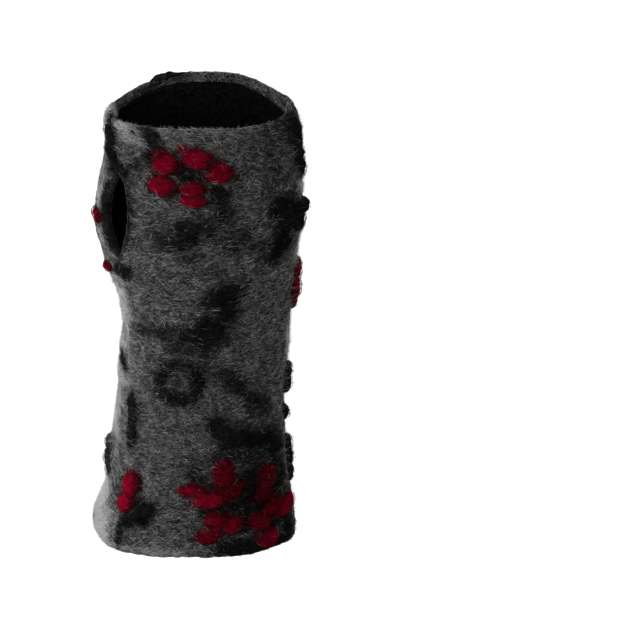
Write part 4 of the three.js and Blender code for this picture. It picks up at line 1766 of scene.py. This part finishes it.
@dataclass
class HairCoat:
    """Many loose hairs over the felt, each a thin curved strip.

    Heights are in millimetres and angles in radians. dulled is how much darker hairs are over black roving
    and painted shade, and rise_spread the highest stray over the lowest. Hairs are also made paler by a set
    amount over pale wool and painted highlight, past a set depth of it.
    """

    coat: Coat
    level: float = 0.15
    lowest: float = 0.08
    nap: float = 0.5
    curl: float = 0.32
    wander: float = 0.28
    slowing: float = 0.55
    closest_rows: float = 0.4
    rise_spread: float = 3.0
    tip_power: float = 1.6
    end_width: float = 0.35
    widths: tuple[float, float] = (0.7, 1.3)
    dulled: float = 0.65
    pale_and_highlight_gain: float = 0.6
    pale_and_highlight_gain_from: float = 0.5

    def build(self, felt: FeltMap, weight: np.ndarray) -> bpy.types.Object:
        """Builds the coat.

        Args:
            felt: what the hairs lie on.
            weight: how densely they grow at each grid point of the felt.

        Returns:
            The new object.
        """
        coat = self.coat
        rng = np.random.default_rng(coat.seed)
        starts = self._starts(felt, weight, rng)
        mesh = self._mesh(self._strips(rng, self._walk(felt, rng, *starts)))
        tones = self._tones(felt, rng, *starts)
        set_float(mesh, "tone", np.repeat(tones, (coat.segments + 1) * 2))
        return add_piece(coat.name, mesh, HairWool(coat.tone).material(), coat.slot)

    def _tones(
        self, felt: FeltMap, rng: np.random.Generator, column: np.ndarray, row: np.ndarray
    ) -> np.ndarray:
        """How pale each hair is, from 0 to 1.

        Args:
            felt: what the hairs lie on.
            rng: source of the random numbers.
            column: column numbers at which the hairs start.
            row: rows of the wrapped grid at which they start.

        Returns:
            One tone for each hair, duller over black roving and painted shade, and paler over pale wool and
            painted highlight.
        """
        j = felt.base_row[np.clip(row.astype(int), 0, len(felt.base_row) - 1)]
        i = np.clip(column.astype(int), 0, felt.cloth.columns)
        black = np.clip(felt.dark[j, i] * (1 - felt.red[j, i]), 0.0, 1.0)
        # pale wool and painted highlight make the hairs paler
        pale = np.clip(felt.pale[j, i] * (1 - black) - self.pale_and_highlight_gain_from, 0.0, 1.0)
        tone = rng.random(self.coat.count) * (1 - self.dulled * black)
        return np.clip(tone + self.pale_and_highlight_gain * pale, 0.0, 1.0)

    def _starts(
        self, felt: FeltMap, weight: np.ndarray, rng: np.random.Generator
    ) -> tuple[np.ndarray, np.ndarray]:
        """Random places on the felt.

        Args:
            felt: what the hairs lie on.
            weight: how densely they grow at each grid point.
            rng: source of the random numbers.

        Returns:
            Column numbers and rows of the wrapped grid, with fractions.
        """
        cloth = felt.cloth
        rows = len(felt.points)
        spread = np.linalg.norm(np.diff(felt.points, axis=0), axis=-1)
        spread = np.concatenate([spread, spread[-1:]], axis=0)
        area = spread * cloth.step_round[felt.base_row][:, None]
        density = (area * weight[felt.base_row])[: rows - 1, : cloth.columns]
        chosen = np.searchsorted(density.ravel().cumsum(), rng.random(self.coat.count) * density.sum())
        row, column = np.unravel_index(np.minimum(chosen, density.size - 1), density.shape)
        return column + rng.random(self.coat.count), row + rng.random(self.coat.count)

    def _walk(
        self, felt: FeltMap, rng: np.random.Generator, column: np.ndarray, row: np.ndarray
    ) -> np.ndarray:
        """Each hair's line over the felt.

        Args:
            felt: what the hairs lie on.
            rng: source of the random numbers.
            column: column numbers at which the hairs start.
            row: rows of the wrapped grid at which they start.

        Returns:
            Points along each hair in millimetres. Most hairs lie across the tube, with the nap.
        """
        coat, cloth = self.coat, felt.cloth
        spread = np.linalg.norm(np.diff(felt.points, axis=0), axis=-1).mean(axis=1)
        spread = np.maximum(np.concatenate([spread, spread[-1:]]), self.closest_rows)
        heading = rng.normal(0.0, self.nap, coat.count) + rng.integers(0, 2, coat.count) * math.pi
        bend = rng.normal(0.0, self.curl, coat.count)
        hug = np.abs(rng.normal(0.0, coat.lift, coat.count))
        strays = rng.random(coat.count) < coat.stray
        tip = np.where(strays, rng.uniform(coat.rise / self.rise_spread, coat.rise, coat.count), 0.0)
        step = rng.uniform(coat.shortest, coat.longest, coat.count) / coat.segments
        lines = []
        for t in np.linspace(0.0, 1.0, coat.segments + 1):
            height = self.level + hug * math.sin(math.pi * t) + tip * t**self.tip_power
            lines.append(felt.sit(column, row, height, on_wool=True))
            j = np.clip(row.astype(int), 0, len(spread) - 1)
            slowed = step * np.where(strays, 1 - self.slowing * t, 1.0)
            column = column + slowed * np.cos(heading) / cloth.step_round[felt.base_row[j]]
            row = row + slowed * np.sin(heading) / spread[j]
            heading = heading + bend + rng.normal(0.0, self.wander, coat.count)
        lines = np.stack(lines, axis=1)
        lines[..., 2] = np.maximum(lines[..., 2], self.lowest)
        return lines

    def _strips(self, rng: np.random.Generator, lines: np.ndarray) -> np.ndarray:
        """Gives each hair's line a width, which tapers to both its ends.

        Args:
            rng: source of the random numbers.
            lines: points along each hair.

        Returns:
            Both edges of each hair's strip.
        """
        coat = self.coat
        along = np.gradient(lines, axis=1)
        along /= np.maximum(np.linalg.norm(along, axis=-1, keepdims=True), SMALLEST)
        facing = rng.normal(0.0, 1.0, (coat.count, 1, 3))
        side = np.cross(along, np.broadcast_to(facing, along.shape))
        side /= np.maximum(np.linalg.norm(side, axis=-1, keepdims=True), SMALLEST)
        swell = np.sin(math.pi * np.linspace(0.0, 1.0, coat.segments + 1))
        taper = self.end_width + (1 - self.end_width) * swell
        half = coat.width / 2 * taper[None, :, None] * rng.uniform(*self.widths, (coat.count, 1, 1))
        return np.stack([lines - side * half, lines + side * half], axis=2)

    def _mesh(self, strips: np.ndarray) -> bpy.types.Mesh:
        """Joins all strips in one mesh.

        Args:
            strips: both edges of each strip.

        Returns:
            The mesh, of four-sided faces.
        """
        count, stations = strips.shape[:2]
        first = np.arange(count)[:, None] * stations * 2
        left = first + np.arange(stations - 1)[None, :] * 2
        corners = np.stack([left, left + 1, left + 3, left + 2], axis=-1).reshape(-1)
        mesh = bpy.data.meshes.new(self.coat.name)
        mesh.vertices.add(strips.size // 3)
        mesh.vertices.foreach_set("co", (strips * MM).astype(np.float32).ravel())
        mesh.loops.add(len(corners))
        mesh.loops.foreach_set("vertex_index", corners.astype(np.int32))
        faces = len(corners) // 4
        mesh.polygons.add(faces)
        mesh.polygons.foreach_set("loop_start", np.arange(faces, dtype=np.int32) * 4)
        mesh.update(calc_edges=True)
        mesh.validate()
        return mesh


def hair_weights(felt: FeltMap) -> dict[str, np.ndarray]:
    """How densely each coat's hairs grow over the felt.

    Args:
        felt: the map of the roving.

    Returns:
        A density for each grid point, by the coat's name.
    """
    off_red = np.clip(1 - felt.red, LEAST_ON_RED, 1.0)
    bare = np.clip(1 - felt.dark, 0.0, 1.0)
    # pale holds pale wool and painted highlight, and dark holds black roving and painted shade.
    pale = felt.pale * bare
    not_pale = np.clip(1 - PALE_AND_HIGHLIGHT_THINNING * pale, LEAST_ON_PALE_AND_HIGHLIGHT, 1.0)
    weights = {"hair_black": felt.dark * off_red + BLACK_OVER_VEIL * felt.veil, "hair_red": felt.red}
    for name, growth in GROWTHS.items():
        density = growth.on_black + (1 - growth.on_black) * bare**growth.power + growth.on_pale_and_highlight * pale
        if growth.thinned:
            density = density * not_pale
        weights[name] = density * off_red + growth.on_veil * felt.veil
    return weights


@dataclass(frozen=True)
class Lamp:
    """A square lamp that points at the part, with its place and size in metres."""

    name: str
    place: tuple[float, float, float]
    size: float
    watts: float

    def build(self) -> None:
        """Puts the lamp into the scene."""
        light = bpy.data.lights.new(self.name, "AREA")
        light.shape = "SQUARE"
        light.size = self.size
        light.energy = self.watts
        lamp = bpy.data.objects.new(self.name, light)
        bpy.context.scene.collection.objects.link(lamp)
        lamp.location = self.place
        lamp.rotation_euler = (-Vector(self.place)).to_track_quat("-Z", "Y").to_euler()


@dataclass
class Studio:
    """A pale floor, soft light and the camera."""

    look_at: tuple[float, float, float] = (59.76, 3.62, 23.0)
    tilt: float = 22.0
    distance: float = 1.0
    picture_mm: float = 320.8
    sensor: float = 36.0
    floor_size: float = 8.0
    floor_colour: Colour = (0.5, 0.5, 0.5)
    white: Colour = (1.0, 1.0, 1.0)
    floor_glow: float = 1.0
    surround: float = 0.35
    lamps: tuple[Lamp, ...] = (
        Lamp("left_lamp", (-1.4, 0.2, 0.5), 0.7, 26.0),
        Lamp("top_lamp", (-0.3, 0.9, 1.5), 1.0, 11.0),
    )

    def build(self) -> None:
        """Sets up the floor, the light and the camera."""
        self._floor()
        self._surround()
        for lamp in self.lamps:
            lamp.build()
        self._camera()
        scene = bpy.context.scene
        scene.view_settings.view_transform = "Standard"
        scene.view_settings.look = "None"
        scene.view_settings.exposure = 0.0

    def _floor(self) -> None:
        """Lays a wide white sheet under the part."""
        bm = bmesh.new()
        bmesh.ops.create_grid(bm, x_segments=1, y_segments=1, size=self.floor_size / 2)
        mesh = bpy.data.meshes.new("floor")
        bm.to_mesh(mesh)
        bm.free()
        floor = bpy.data.objects.new("floor", mesh)
        bpy.context.scene.collection.objects.link(floor)
        glow = {"glow": self.white, "glow_strength": self.floor_glow}
        sheet = NodeBench("white_sheet").finish(self.floor_colour, roughness=1.0, specular=0.0, **glow)
        mesh.materials.append(sheet)

    def _surround(self) -> None:
        """Lights the part evenly from all sides."""
        world = bpy.data.worlds.new("surround")
        bpy.context.scene.world = world
        world.use_nodes = True
        background = world.node_tree.nodes["Background"]
        background.inputs["Color"].default_value = (*self.white, 1.0)
        background.inputs["Strength"].default_value = self.surround

    def _camera(self) -> None:
        """Sets the camera, which looks down at the palm from beyond the finger end."""
        lens = bpy.data.cameras.new("camera")
        lens.sensor_width = self.sensor
        lens.lens = self.sensor * self.distance / (self.picture_mm * MM)
        camera = bpy.data.objects.new("camera", lens)
        bpy.context.scene.collection.objects.link(camera)
        tilt = math.radians(self.tilt)
        back = Vector((0.0, math.sin(tilt), math.cos(tilt)))
        up = Vector((0.0, math.cos(tilt), -math.sin(tilt)))
        turned = Matrix((up.cross(back), up, back)).transposed().to_4x4()
        camera.matrix_world = Matrix.Translation(Vector(self.look_at) * MM + back * self.distance) @ turned
        bpy.context.scene.camera = camera


def main() -> None:
    """Builds the wrist warmer and the studio."""
    logging.basicConfig(level=logging.INFO, format="%(message)s")
    form = WristForm()
    cloth = ClothTube(
        form,
        columns=210,
        rows=190,
        depth=0.0,
        thickness=3.0,
        short=Short(1.5, 1.5),
        thumb_short=1.5,
        seam_dip=0.9,
    )
    felt = FeltMap(cloth)
    FeltShell(felt).build()
    FleeceLining(form).build()
    roving = HeatherFelt(sheen=0.03)
    red = roving.material("red_wool", False)
    black = roving.material("black_wool", False)
    for node, tufts in RED_TUFTS.items():
        RovingPatch(felt, node, Wool.RED, tufts, red).build()
    for node, tufts in BLACK_TUFTS.items():
        RovingPatch(felt, node, Wool.BLACK, tufts, black).build()
    weights = hair_weights(felt)
    for coat in COATS:
        HairCoat(coat).build(felt, weights[coat.name])
    Studio().build()


if __name__ == "__main__":
    main()
